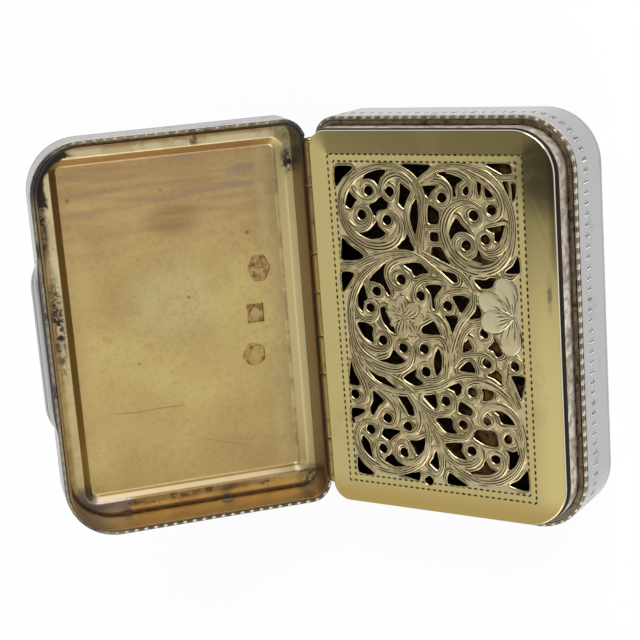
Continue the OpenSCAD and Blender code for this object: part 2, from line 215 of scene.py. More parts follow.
def cut_away(piece, *cutters):
    """Cuts the shapes of the cutters out of a piece; the cut faces keep the cutters' finish."""
    for cutter in cutters:
        cut = piece.modifiers.new("cut", "BOOLEAN")
        cut.object = cutter
        cut.operation = "DIFFERENCE"
        cut.solver = "MANIFOLD"
        cut.material_mode = "TRANSFER"
    shade(settle(piece).data)
    for cutter in cutters:
        bpy.data.objects.remove(cutter)


def turned(name, profile, y_mid, closed, *finishes):
    """A piece turned about the hinge axis from (radius, y) points."""
    angles = [2 * math.pi * side / turned_sides for side in range(turned_sides)]
    sections = [[(axis_x + radius * math.cos(a), y_mid + y, axis_z + radius * math.sin(a))
                 for a in angles] for radius, y in profile]
    return make_piece(name, *loft(sections, closed), *finishes)


def hinge_bar():
    """A round bar on the hinge axis, to cut the hinge channel with."""
    ends = ((channel_r, -hinge_room / 2), (channel_r, hinge_room / 2))
    return turned("hinge_channel", ends, 0.0, False)


def strap_notch(side):
    """A block to cut the notch in the back walls for one grille strap."""
    low, high = (side * strap_y - notch_l / 2, side * strap_y + notch_l / 2)
    plan = ((axis_x, low), (notch_front, low), (notch_front, high), (axis_x, high))
    sections = [[(x, y, z) for x, y in plan] for z in (notch_bottom, notch_top)]
    return make_piece("strap_notch", *loft(sections, False))


def ring_piece(name, corners, radius, *finishes):
    """A closed wall round the box from a section of (inset, height) corners."""
    sections = rings(box_outline, soften(corners, radius))
    return make_piece(name, *loft(sections, True), *finishes)


def fit(piece, body, node=None):
    """Gives a piece its body, and hides the CAD node that it stands for."""
    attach(piece, body)
    if node:
        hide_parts(node)


class Value:
    """A socket of a node tree; sums written with it become math nodes in that tree."""

    def __init__(self, socket):
        self.socket = socket
        self.tree = socket.id_data

    def math(self, operation, other=0.0, swapped=False, clamp=False):
        """One sum on this value, or on a number and this value when swapped."""
        first, second = (other, self) if swapped else (self, other)
        return add(self.tree, "ShaderNodeMath", {0: first, 1: second}, operation=operation,
                   use_clamp=clamp)[0]

    def __add__(self, other):
        return self.math("ADD", other)

    def __sub__(self, other):
        return self.math("SUBTRACT", other)

    def __rsub__(self, other):
        return self.math("SUBTRACT", other, True)

    def __mul__(self, other):
        return self.math("MULTIPLY", other)

    def __truediv__(self, other):
        return self.math("DIVIDE", other)

    def __pow__(self, other):
        return self.math("POWER", other)

    def __abs__(self):
        return self.math("ABSOLUTE")


class Outputs:
    """The outputs of a node, taken by place or by name as values."""

    def __init__(self, node):
        self.node = node

    def __getitem__(self, key):
        return Value(self.node.outputs[key])


def wire(node, sockets):
    """Sets a node's inputs, or links them to values of its tree; colours get a full alpha."""
    for key, value in sockets.items():
        entry = node.inputs[key]
        if isinstance(value, Value):
            node.id_data.links.new(value.socket, entry)
        else:
            entry.default_value = (*value, 1.0) if entry.type == "RGBA" else value


def add(tree, kind, sockets=None, **settings):
    """A node with its settings made and its inputs set, as its outputs."""
    node = tree.nodes.new(kind)
    for key, value in settings.items():
        setattr(node, key, value)
    wire(node, sockets or {})
    return Outputs(node)


def new_group(name, kind, inputs, outputs):
    """A node group with named sockets: the group, its inputs as values and its output node."""
    group = bpy.data.node_groups.new(name, kind)
    for in_out, sockets in (("INPUT", inputs), ("OUTPUT", outputs)):
        for label, socket in sockets.items():
            group.interface.new_socket(label, in_out=in_out, socket_type="NodeSocket" + socket)
    return group, Outputs(group.nodes.new("NodeGroupInput")), group.nodes.new("NodeGroupOutput")


def ramp(value, low, high, start=0.0, end=1.0):
    """A soft step of a value between two limits."""
    return add(value.tree, "ShaderNodeMapRange", {0: value, 1: low, 2: high, 3: start, 4: end},
               interpolation_type="SMOOTHSTEP")[0]


def between(mask, start, end):
    """A mask spread between two strengths."""
    return ramp(mask, 0.0, 1.0, start, end)


def strongest(first, *others):
    """The strongest of some masks at each point."""
    for other in others:
        first = first.math("MAXIMUM", other)
    return first


def mix(share, first, second):
    """One colour laid over another by a share."""
    return add(share.tree, "ShaderNodeMix", {0: share, 6: first, 7: second}, data_type="RGBA")[2]


def axes(place):
    """The three parts of a place."""
    return add(place.tree, "ShaderNodeSeparateXYZ", {0: place})


def vector(place, operation, other=(0.0, 0.0, 0.0)):
    """One sum on vectors, as a vector or, for a length or a product, a number."""
    outputs = add(place.tree, "ShaderNodeVectorMath", {0: place, 1: other}, operation=operation)
    return outputs["Value" if operation in ("LENGTH", "DISTANCE", "DOT_PRODUCT") else "Vector"]


def noise_at(place, scale, detail, roughness=0.5):
    """Cloudy noise, with its scale in cells to the unit of the place."""
    return add(place.tree, "ShaderNodeTexNoise", {"Vector": place, "Scale": scale, "Detail": detail,
                                                  "Roughness": roughness})[0]


def cloud_group():
    """Patches of tarnish: a cloudy mask of a size and a share of cover."""
    group, given, found = new_group(
        "tarnish_patches", "ShaderNodeTree",
        {"Vector": "Vector", "Size": "Float", "Cover": "Float"}, {"Mask": "Float"})
    edge = 0.8 - given["Cover"] * 0.6
    wire(found, {"Mask": ramp(noise_at(given["Vector"], given["Size"], 7.0, 0.62), edge, edge + 0.16)})
    return group


def rub_group():
    """Fine lines left by polishing, as a height, and their share as a mask."""
    group, given, found = new_group(
        "polish_lines", "ShaderNodeTree",
        {"Vector": "Vector", "Size": "Float", "Slant": "Float"}, {"Height": "Float", "Mask": "Float"})
    heights = []
    for offset in (0.0, 0.9):
        slanted = add(group, "ShaderNodeVectorRotate",
                      {"Vector": given["Vector"], "Angle": given["Slant"] + offset},
                      rotation_type="Z_AXIS")[0]
        drawn = vector(slanted, "MULTIPLY", (0.04, 1.0, 1.0))
        heights.append(noise_at(drawn, given["Size"], 3.0))
    wire(found, {"Height": heights[0] * heights[1], "Mask": ramp(heights[0], 0.62, 0.72)})
    return group


tarnish_patches = cloud_group()
polish_lines = rub_group()


def start_finish(name):
    """A new metal, with its shader and the piece's own coordinates."""
    material = bpy.data.materials.new(name)
    material.use_nodes = True
    shader = material.node_tree.nodes["Principled BSDF"]
    wire(shader, {"Metallic": 1.0})
    return material, shader, add(material.node_tree, "ShaderNodeTexCoord")["Object"]


def patches(place, size, cover):
    """The tarnish mask: size in cells to the metre, cover as a share from 0 to 1."""
    return add(place.tree, "ShaderNodeGroup", {0: place, 1: size, 2: cover},
               node_tree=tarnish_patches)[0]


def bumped(height, strength, distance, **under):
    """A normal raised by a height."""
    return add(height.tree, "ShaderNodeBump", {"Strength": strength, "Distance": distance,
                                               "Height": height, **under})[0]


def rubbed(shader, place, size, slant, strength, distance, **under):
    """Lays polishing lines on a shader's normal, and gives the lines' mask."""
    height, mask = add(place.tree, "ShaderNodeGroup", {0: place, 1: size, 2: slant},
                       node_tree=polish_lines)
    wire(shader, {"Normal": bumped(height, strength, distance, **under)})
    return mask


def silver_finish(name, bright, ledge_from=None):
    """Polished silver with a grey bloom; mottled tarnish gathers above the ledge height."""
    material, shader, place = start_finish(name)
    bloom = patches(place, 420.0, 0.42)
    colour = mix(bloom * 0.5, bright, silver_grey)
    if ledge_from is not None:
        ledge = ramp(axes(place)[2], ledge_from * MM, (ledge_from + ledge_blend) * MM)
        colour = mix(ledge, colour, mix(patches(place, 1700.0, 0.5), ledge_grey, ledge_brown))
    lines = rubbed(shader, place, 2600.0, 0.4, 0.25, 0.00002)
    wire(shader, {"Base Color": colour, "Roughness": between(bloom, 0.24, 0.38) + lines * 0.12})
    return material


def worn_finish(name, bright, dull, rough, size=700.0, cover=0.5):
    """Worn metal, mottled between a bright and a dull colour."""
    material, shader, place = start_finish(name)
    wire(shader, {"Base Color": mix(patches(place, size, cover), bright, dull), "Roughness": rough})
    return material


def close_tree(found, geometry, finish):
    """Ends a geometry tree in real, smooth faces with their finish."""
    tree = geometry.tree
    real = add(tree, "GeometryNodeRealizeInstances", {"Geometry": geometry})[0]
    soft = add(tree, "GeometryNodeSetShadeSmooth", {"Geometry": real})[0]
    done = add(tree, "GeometryNodeSetMaterial", {"Geometry": soft, "Material": finish})[0]
    wire(found, {0: done})


def row_tree():
    """Beads set along a path at a pitch, each stretched to its length, width and height."""
    tree, given, found = new_group(
        "row_of_beads", "GeometryNodeTree",
        {"Path": "Geometry", "Pitch": "Float", "Bead": "Vector", "Finish": "Material"},
        {"Row": "Geometry"})
    curve = add(tree, "GeometryNodeMeshToCurve", {"Mesh": given["Path"]})[0]
    places = add(tree, "GeometryNodeResampleCurve", {"Curve": curve, "Length": given["Pitch"]},
                 mode="LENGTH")[0]
    along = add(tree, "GeometryNodeInputTangent")[0]
    turn = add(tree, "FunctionNodeAlignRotationToVector", {"Vector": along}, axis="X",
               pivot_axis="Z")[0]
    bead = add(tree, "GeometryNodeMeshUVSphere", {"Segments": 8, "Rings": 6, "Radius": 0.5})[0]
    row = add(tree, "GeometryNodeInstanceOnPoints",
              {"Points": places, "Instance": bead, "Rotation": turn, "Scale": given["Bead"]})[0]
    close_tree(found, row, given["Finish"])
    return tree


row_of_beads = row_tree()


def apply_tree(piece, tree, **values):
    """Runs a geometry tree on a piece with its named inputs set, and keeps the plain mesh."""
    grow = piece.modifiers.new("grow", "NODES")
    grow.node_group = tree
    for item in tree.interface.items_tree:
        if item.in_out == "INPUT" and item.name in values:
            grow[item.identifier] = values[item.name]
    return settle(piece)


def bead_row(name, points, closed, pitch, size, finish):
    """A row of beads along a path of points."""
    count = len(points)
    edges = [(i, (i + 1) % count) for i in range(count if closed else count - 1)]
    return apply_tree(show(name, new_mesh(name, points, edges)), row_of_beads, Pitch=pitch * MM,
                      Finish=finish, Bead=[side * MM for side in size])


band_silver = silver_finish("band_silver", silver_bright, ledge_height)
# Finish of the milled notches: darker silver, painted shade in the cuts.
milled_shaded_silver = worn_finish("milled_shaded_silver", milled_shade_grey, milled_shade_dark, 0.25, 900.0)
side_band = ring_piece(
    "side_band_wall",
    ((0, base_t), (0, box_top - bead_w), (bead_w, box_top - bead_w), (bead_w, box_top),
     (band_t, box_top), (band_t, base_t)), band_edge, band_silver)
cut_away(side_band, hinge_bar(), strap_notch(-1), strap_notch(1))
for wall_line in rings(box_outline, [(0.0, row_z) for row_z in milled_rows]):
    cut_away(side_band, bead_row("milled_row", wall_line, True, milled_pitch, milled_size,
                                 milled_shaded_silver))
fit(side_band, "box", "side_band")


# Base plate: a flat sheet of silver soldered under the side band, its lower edge rubbed round.
# It takes the knocks and fine scratches of standing on tables.
base_top = base_t - 0.01
base_silver = silver_finish("base_silver", silver_bright)
base_rings = rings(box_outline, (
    (6.0, 0.0), (0.5, 0.0), (0.3, 0.0), (0.17, 0.02), (0.08, 0.07), (0.02, 0.16), (0.0, 0.26),
    (0.0, 0.36), (0.0, base_top), (0.4, base_top), (6.0, base_top)))
base_plate = make_piece("base_plate_sheet", *loft(base_rings, False), base_silver)
fit(base_plate, "box", "base_plate")


# Mouth beading: a strip of beaded silver wire let into the cut-back edge of the mouth.
# It runs round the three free sides and the corners, and stops at the hinge.
bead_pitch = 0.87
bead_size = (0.72, 0.35, 0.355)
bead_inset = 0.175
bead_stop = 15.95
strip_half = 0.14
bead_silver = worn_finish("bead_silver", (0.66, 0.625, 0.53), (0.50, 0.46, 0.36), 0.42)
strip_olive = worn_finish("strip_olive", (0.30, 0.25, 0.17), (0.15, 0.115, 0.07), 0.5)


def join(target, *others):
    """Joins pieces into one mesh."""
    with bpy.context.temp_override(active_object=target, object=target,
                                   selected_editable_objects=[target, *others],
                                   selected_objects=[target, *others]):
        bpy.ops.object.join()
    return target


def beading(name, z, bead_finish, strip_finish):
    """Beads on a narrow tarnished strip, round the free sides from one hinge end to the other."""
    free = [p for p in box_outline(bead_inset) if p[0] > axis_x + 2.0 or abs(p[1]) > bead_stop]
    first = max(range(len(free)), key=lambda i: math.dist(free[i], free[i - 1]))
    line = free[first:] + free[:first]
    row = bead_row(name, [(x, y, z) for x, y in line], False, bead_pitch, bead_size, bead_finish)
    core = []
    for x, y in line:
        inward = Vector((-x, -y, 0)).normalized() * strip_half
        core.append([(x + inward.x * side, y + inward.y * side, z + up * strip_half)
                     for side, up in ((-1, -1), (1, -1), (1, 1), (-1, 1))])
    return join(row, make_piece(name + "_strip", *loft(core, False), strip_finish))


mouth_bead = beading("mouth_beading", box_top - bead_w / 2, bead_silver, strip_olive)
fit(mouth_bead, "box", "mouth_bead")


# Liner: the inner wall of the sponge chamber, a second strip soldered inside the band.
# It stands up out of the mouth, gilt inside and worn to silver outside, and carries the grille.
liner_set = 0.78
liner_t = 0.4
liner_top = 7.2
liner_edge = 0.1
gilt_brown = (0.30, 0.19, 0.085)
# Chamber colours: tarnished gilt darkened to near black, painted shade inside the closed chamber.
chamber_shade_brown = (0.13, 0.07, 0.025)
chamber_shade_dark = (0.02, 0.014, 0.009)
rub_pale = (0.76, 0.72, 0.60)
rub_pink = (0.68, 0.60, 0.50)
rub_blue = (0.66, 0.66, 0.64)
lid_stain = (0.25, 0.195, 0.15)

liner_gilt, shader, place = start_finish("liner_gilt")
_, along, height = axes(place)
colour = mix(patches(place, 320.0, 0.6), rub_pale, rub_pink)
colour = mix(patches(place, 240.0, 0.5), colour, rub_blue)
colour = mix(ramp(along, 2 * MM, 14 * MM, 0.0, 0.45), colour, lid_stain)
colour = mix(patches(place, 1300.0, 0.62) * 0.8, colour, lid_stain)
# Darker towards the foot of the liner by the ledge: mottled tarnish and painted shade.
low_tarnish_and_shade = between(patches(place, 1100.0, 0.6), 0.7, 1.0) * ramp(height, 6.3 * MM, 5.7 * MM)
colour = mix(low_tarnish_and_shade, colour, ledge_brown)
# Near-black along the top of the liner: grime in the joint and painted shade of the gap under the
# grille plate.
joint_grime_and_shade = ramp(height, 7.13 * MM, 7.19 * MM)
rubbed(shader, place, 2400.0, 0.2, 0.3, 0.00003)
wire(shader, {"Base Color": mix(joint_grime_and_shade, colour, chamber_shade_dark), "Metallic": 0.4, "Roughness": 0.42})
# The inside of the chamber: tarnished gilt darkened to near black, painted shade of the closed chamber.
chamber_shaded_gilt = worn_finish("chamber_shaded_gilt", chamber_shade_brown, chamber_shade_dark, 0.5, 600.0, 0.7)

liner = ring_piece(
    "liner_wall",
    ((liner_set, base_t), (liner_set, liner_top), (liner_set + liner_t, liner_top),
     (liner_set + liner_t, base_t)), liner_edge, liner_gilt, chamber_shaded_gilt)
cut_away(liner, strap_notch(-1), strap_notch(1))


def faces_inward(spot, normal):
    """Whether a face of a wall looks towards the middle of the box."""
    return Vector((spot.x, spot.y, 0)).dot(normal) < -0.5


def gild_inside(piece, is_inside):
    """Gives the second finish to the faces that a test on their middle and normal finds inside."""
    for face in piece.data.polygons:
        face.material_index = 1 if is_inside(face.center / MM, face.normal) else 0


gild_inside(liner, lambda spot, normal: faces_inward(spot, normal) and spot.z < liner_top - 0.2)
fit(liner, "box", "liner")


# Sponge: a pad of natural sponge cut to the chamber, once soaked in scented vinegar.
# It has dried brown, lies loose on the base and is full of pores. Its colours are darkened to near
# black as painted shade of the closed chamber, with orange spots of painted light on the side towards
# the front.
sponge_inset = 1.5
sponge_middle = 7.0
sponge_bottom = 0.54
sponge_top = 2.5
sponge_round = 0.7
sponge_fine = 0.22
cell_scale = 0.7
cell_depth = 0.12
lump_scale = 0.8
lump_depth = 0.35
pore_scale = 2.3
pore_from = 0.12
pore_deep = 1.3
pore_shift = Vector((9.0, 0.0, 0.0))
sink_most = 0.9
lying_part = 0.15
# Dried brown darkened to near black: painted shade of the closed chamber.
sponge_dry_shaded = (0.035, 0.016, 0.007)
sponge_pore = (0.006, 0.004, 0.003)
sponge_light_spot_orange = (1.0, 0.56, 0.2)

sponge_brown, shader, place = start_finish("sponge_brown")
colour = mix(patches(place, 900.0, 0.6), sponge_dry_shaded, sponge_pore)
# Orange spots on the front side of the pad: painted light falling through the openings of the grille.
light_spots = patches(place, 330.0, 0.5) * ramp(axes(place)[0], -4 * MM, 3 * MM)
wire(shader, {"Base Color": mix(light_spots, colour, sponge_light_spot_orange), "Metallic": 0.0, "Roughness": 0.9,
              "Normal": bumped(noise_at(place, 4000.0, 4.0), 0.6, 0.0001)})


def pore_depth(spot):
    """How far the pores and lumps sink a point of the pad."""
    cell = noise.cell_vector(spot * cell_scale).x
    lump = noise.noise(spot * lump_scale)
    pore = max(0.0, noise.noise((spot + pore_shift) * pore_scale) - pore_from)
    return min(lump_depth * abs(lump) + pore_deep * pore + cell_depth * cell, sink_most)


sponge_profile = soften(((sponge_middle, sponge_top), (sponge_inset, sponge_top),
                         (sponge_inset, sponge_bottom), (sponge_middle, sponge_bottom)),
                        sponge_round, False)
sponge = make_piece("sponge_pad", *loft(rings(box_outline, sponge_profile), False), sponge_brown)
fine = sponge.modifiers.new("fine", "REMESH")
fine.mode = "VOXEL"
fine.voxel_size = sponge_fine * MM
settle(sponge)
for vertex in sponge.data.vertices:
    spot = vertex.co / MM
    if spot.z > sponge_bottom + lying_part:
        vertex.co -= vertex.normal * pore_depth(spot) * MM
shade(sponge.data)
fit(sponge, "box", "sponge")


# Hinge tubes and pin: seven short tubes on one pin make the hinge. Three are soldered in the
# channel of the box, two in the channel of the lid, and the grille's straps carry the other two.
# The pin is riveted over at both ends.
tube_r = 0.65
bore_r = 0.36
tube_edge = 0.08
tube_round = 0.03
tube_flat = 0.2
pin_r = 0.32
pin_l = 31.0
head_r = 0.55
head_t = 0.25
box_tube_l = 3.9
end_tube_y = 13.5
hinge_olive = (0.52, 0.35, 0.11)
hinge_brown = (0.26, 0.15, 0.05)

hinge_silver, shader, place = start_finish("hinge_silver")
x, _, z = axes(place)
inner = (ramp(x, (axis_x - 0.5) * MM, (axis_x + 0.05) * MM)
         * ramp(z, (axis_z - 0.1) * MM, (axis_z + 0.25) * MM))
colour = mix(patches(place, 420.0, 0.42), silver_bright, silver_grey)
stained = mix(patches(place, 900.0, 0.5), hinge_olive, hinge_brown)
rubbed(shader, place, 2600.0, 0.4, 0.2, 0.00002)
wire(shader, {"Base Color": mix(inner, colour, stained), "Roughness": 0.34})


def mirrored(half):
    """A turned profile from its half with positive y."""
    return [(r, -y) for r, y in reversed(half) if y > 0] + list(half)


def tube(name, length, y, finish):
    """One hinge tube with its ends rubbed round."""
    end = length / 2
    half = ((tube_r, end - tube_flat), (tube_r, end - tube_edge),
            (tube_r - tube_edge * 0.3, end - tube_round), (tube_r - tube_edge, end), (bore_r, end))
    return turned(name, mirrored(half), y, True, finish)


for node, y in (("box_tube_left", -end_tube_y), ("box_tube_middle", 0.0),
                ("box_tube_right", end_tube_y)):
    fit(tube(node + "_turned", box_tube_l, y, hinge_silver), "box", node)

pin_end = pin_l / 2
pin_half = ((pin_r, 0.0), (pin_r, pin_end), (head_r, pin_end), (head_r, pin_end + 0.08),
            (head_r * 0.85, pin_end + 0.18), (head_r * 0.5, pin_end + 0.235),
            (0.02, pin_end + head_t))
hinge_pin = turned("hinge_pin_turned", mirrored(pin_half), 0.0, False, hinge_silver)
fit(hinge_pin, "box", "hinge_pin")


# Grille plate: a sheet of silver-gilt, sawn and drilled through between the scrolls.
# A double line of short cuts is wheeled round the pierced part, and the edges are rubbed round.
plate_z = 7.23
plate_top = 7.68
plate_edge = 0.1
plate_sharp = math.radians(12)
dash_pitch = 0.56
dash_size = (0.4, 0.19, 0.14)
dash_frames = ((-9.02, 7.72, 13.98), (-9.6, 8.3, 14.58))
margin_fall = 0.06
plate_yellow = (0.66, 0.545, 0.23)
plate_worn = (0.60, 0.475, 0.19)
chased_pale = (0.635, 0.535, 0.30)
chased_warm = (0.475, 0.375, 0.185)
rim_pale = (0.84, 0.80, 0.68)
plate_reflected_pale = (0.80, 0.66, 0.28)
plate_shaded_dull = (0.56, 0.41, 0.135)
plate_reflected_dark = (0.12, 0.095, 0.06)
dark_reflection_spot = Vector((10.5, 12.8, 7.68)) * MM
smear_spot = Vector((10.2, 3.3, 7.68)) * MM
smear_shape = (2800.0, 450.0, 0.0)

plate_gilt, shader, place = start_finish("plate_gilt")
x, y, z = axes(place)
x_low, x_high, y_end = dash_frames[1]
past_x = abs(x - (x_low + x_high) / 2 * MM) - (x_high - x_low) / 2 * MM
past_y = abs(y) - y_end * MM
past_line = strongest(past_x, past_y)
haze = patches(place, 200.0, 0.45)
colour = mix(haze * 0.6, plate_yellow, plate_worn)
pierced = ramp(past_line, -0.55 * MM, -0.7 * MM)
colour = mix(pierced, colour, mix(haze, chased_pale, chased_warm))
colour = mix(patches(place, 2600.0, 0.16) * 0.5, colour, gilt_brown)
# Paler towards the front margin: painted reflection.
colour = mix(ramp(x, 7.9 * MM, 9.8 * MM), colour, plate_reflected_pale)
# Duller towards the −y end: painted shade that tones down the reflection there.
colour = mix(ramp(y, -13.8 * MM, -16.0 * MM), colour, plate_shaded_dull)
# A brown line along the front edge, from the middle towards the +y end: painted shade of the rolled
# edge.
rolled_edge_shade = ramp(past_x, 1.9 * MM, 2.5 * MM) * ramp(y, 3 * MM, 8 * MM, 0.0, 0.7)
colour = mix(rolled_edge_shade, colour, gilt_brown)
# A dark patch about the plate's front corner at the +y end: painted reflection of the dark surround.
to_dark_reflection = vector(place, "DISTANCE", dark_reflection_spot)
colour = mix(ramp(to_dark_reflection, 4.2 * MM, 1.2 * MM, 0.0, 0.75), colour, plate_reflected_dark)
to_smear = vector(vector(place, "SUBTRACT", smear_spot), "MULTIPLY", smear_shape)
smear = (ramp(vector(to_smear, "LENGTH"), 1.0, 0.1)
         * between(patches(place, 1300.0, 0.6), 0.35, 0.85))
colour = mix(smear, colour, gilt_brown)
rim_worn = (ramp(past_line, 0.8 * MM, MM)
            * ramp(z, (plate_top - 0.004) * MM, (plate_top - 0.03) * MM))
past = (strongest(past_x, 0.0) ** 2.0 + strongest(past_y, 0.0) ** 2.0).math("SQRT")
margin = bumped(past * -margin_fall, 1.0, 1.0)
lines = rubbed(shader, place, 3000.0, 1.2, 0.1, 0.00002, Normal=margin)
wire(shader, {"Base Color": mix(rim_worn, colour, rim_pale),
              "Roughness": between(haze, 0.13, 0.2) + lines * 0.05})
dash_dark = worn_finish("dash_dark", (0.12, 0.09, 0.045), (0.03, 0.023, 0.014), 0.55, 900.0)


def top_loops(node):
    """The outlines of a flat node's upper face, in millimetres: the rim and every opening."""
    work = bmesh.new()
    work.from_mesh(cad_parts[node].data)
    bmesh.ops.remove_doubles(work, verts=work.verts, dist=weld)
    top = max(v.co.z for v in work.verts) - 2e-6
    upper = {f for f in work.faces if min(v.co.z for v in f.verts) > top}
    rims = {}
    for edge in work.edges:
        sides = [loop for loop in edge.link_loops if loop.face in upper]
        if len(sides) == 1:
            rims[sides[0].vert.index] = sides[0].link_loop_next.vert.index
    work.verts.ensure_lookup_table()
    loops = []
    while rims:
        here = next(iter(rims))
        loop = []
        while here in rims:
            loop.append(work.verts[here].co.to_2d() / MM)
            here = rims.pop(here)
        loops.append(loop)
    work.free()
    return loops


plate_curve = bpy.data.curves.new("plate_sheet", "CURVE")
plate_curve.dimensions = "2D"
plate_curve.fill_mode = "BOTH"
plate_curve.extrude = ((plate_top - plate_z) / 2 - plate_edge) * MM
plate_curve.bevel_depth = plate_edge * MM
plate_curve.bevel_resolution = 2
plate_curve.offset = -plate_edge * MM
plate_loops = top_loops("grille_plate")
for loop in plate_loops:
    spline = plate_curve.splines.new("POLY")
    spline.points.add(len(loop) - 1)
    for point, (x, y) in zip(spline.points, loop):
        point.co = (x * MM, y * MM, 0.0, 1.0)
    spline.use_cyclic_u = True
plate_form = show("plate_form", plate_curve)
plate_mesh = bpy.data.meshes.new_from_object(
    plate_form.evaluated_get(bpy.context.evaluated_depsgraph_get()))
bpy.data.objects.remove(plate_form)
plate_mesh.transform(Matrix.Translation((0, 0, (plate_top + plate_z) / 2 * MM)))
clean(plate_mesh, plate_gilt)
grille_plate = show("grille_sheet", plate_mesh)
for x_low, x_high, y_end in dash_frames:
    frame_line = [(x_low, -y_end, plate_top), (x_high, -y_end, plate_top),
                  (x_high, y_end, plate_top), (x_low, y_end, plate_top)]
    cut_away(grille_plate, bead_row("dashes", frame_line, True, dash_pitch, dash_size, dash_dark))
grille_plate.data.set_sharp_from_angle(angle=plate_sharp)
fit(grille_plate, "grille", "grille_plate")


# Scrollwork: the bands left standing between the openings, cut in line with a graver.
# Each band is nearly flat and carries engraved lines along it, from its root to its curl.
band_rise = 0.2
band_sink = 0.32
band_lift = 0.06
band_lay = 0.012
band_step = 0.14
broad_from = 0.75
broad_share = 1.02
broad_lines = (0.5, 0.0)
narrow_share = 1.1
narrow_lines = (0.667, 0.333)
edge_half = 0.3
edge_least = 0.05
edge_room = 0.12
edge_gap = 0.01
edge_lift = 0.03
edge_step = 0.16
edge_lines = (0.8, 0.4)
line_depth = 0.1
line_limit = 1.01
line_wide = 0.45
line_drift = 0.7
line_brown = (0.05, 0.037, 0.017)
petal_pale = (0.80, 0.70, 0.43)
petal_warm = (0.68, 0.57, 0.32)


def chased_finish(name, pale, warm):
    """Gilt cut with a graver, dark in the engraved lines."""
    material, shader, place = start_finish(name)
    engraved = add(place.tree, "ShaderNodeAttribute", attribute_name="engraved")["Fac"]
    colour = mix(patches(place, 380.0, 0.5), pale, warm)
    filled = ramp(engraved, 0.08, 0.45) * between(patches(place, 900.0, 0.75), 0.75, 1.0)
    wire(shader, {"Base Color": mix(filled, colour, line_brown),
                  "Roughness": between(engraved, 0.31, 0.52),
                  "Normal": bumped(noise_at(place, 3500.0, 3.0), 0.2, 0.00003)})
    return material


chased_gilt = chased_finish("chased_gilt", chased_pale, chased_warm)
petal_gilt = chased_finish("petal_gilt", petal_pale, petal_warm)


def noted(tree, name):
    """A number noted on the points."""
    return add(tree, "GeometryNodeInputNamedAttribute", {"Name": name}, data_type="FLOAT")[0]


def note(geometry, name, value):
    """Notes a number on the points."""
    return add(geometry.tree, "GeometryNodeStoreNamedAttribute",
               {"Geometry": geometry, "Name": name, "Value": value}, data_type="FLOAT",
               domain="POINT")[0]


def scroll_tree(name, ring_points, top_points):
    """A flat band with engraved lines, swept along each path and as wide as its points say."""
    tree, given, found = new_group(
        name, "GeometryNodeTree",
        {"Path": "Geometry", "Step": "Float", "Rise": "Float", "Sink": "Float", "Depth": "Float",
         "Spacing": "Float", "Shift": "Float", "Finish": "Material"}, {"Band": "Geometry"})
    width = noted(tree, "half_width")
    chain = add(tree, "GeometryNodeMeshToCurve", {"Mesh": given["Path"]})[0]
    bent = add(tree, "GeometryNodeCurveSplineType", {"Curve": chain}, spline_type="CATMULL_ROM")[0]
    even = add(tree, "GeometryNodeResampleCurve", {"Curve": bent, "Length": given["Step"]},
               mode="LENGTH")[0]
    level = add(tree, "GeometryNodeSetCurveNormal", {"Curve": even}, mode="Z_UP")[0]

    ring = add(tree, "GeometryNodeCurvePrimitiveCircle", {"Resolution": ring_points, "Radius": 1.0})[0]
    count = add(tree, "GeometryNodeSplineParameter")["Factor"] * float(ring_points)
    under_step = 1.8 / (ring_points - top_points - 2)
    above = count.math("LESS_THAN", top_points + 0.5)
    below = 1.0 - above
    over = 1.0 - count * (2 / top_points)
    under = count * under_step - (0.9 + under_step * (top_points + 1))
    side = over * above + under * below
    crown = 1.0 - abs(side) ** 4.0
    height = crown * above * given["Rise"] - below * given["Sink"]
    lifted = add(tree, "ShaderNodeCombineXYZ", {0: side, 1: height * -1.0})[0]
    ring = note(note(ring, "across", side), "upper", above)
    profile = add(tree, "GeometryNodeSetPosition", {"Geometry": ring, "Position": lifted})[0]
    swept = add(tree, "GeometryNodeCurveToMesh", {"Curve": level, "Profile Curve": profile,
                                                  "Scale": width, "Fill Caps": True})[0]

    x, y, z = axes(add(tree, "GeometryNodeInputPosition")[0])
    side = noted(tree, "across")
    turns = (side - given["Shift"]) / given["Spacing"]
    wave = (turns * (2 * math.pi)).math("COSINE")
    line = strongest((wave + line_wide) / (1 + line_wide), 0.0) ** 1.3
    line = line * (abs(side).math("LESS_THAN", line_limit) * noted(tree, "upper"))
    drift = add(tree, "ShaderNodeCombineXYZ", {0: x * (line_drift / MM), 1: y * (line_drift / MM),
                                               2: turns.math("ROUND") * 5.3})[0]
    line = line * ramp(noise_at(drift, 1.0, 1.0), 0.36, 0.55, 0.08, 1.0)
    sunk = add(tree, "ShaderNodeCombineXYZ", {2: line * given["Depth"] * width * -1.0})[0]
    cut = add(tree, "GeometryNodeSetPosition", {"Geometry": note(swept, "engraved", line),
                                                "Offset": sunk})[0]
    close_tree(found, cut, given["Finish"])
    return tree


chased_band = scroll_tree("chased_band", 44, 36)
fine_band = scroll_tree("fine_band", 18, 14)
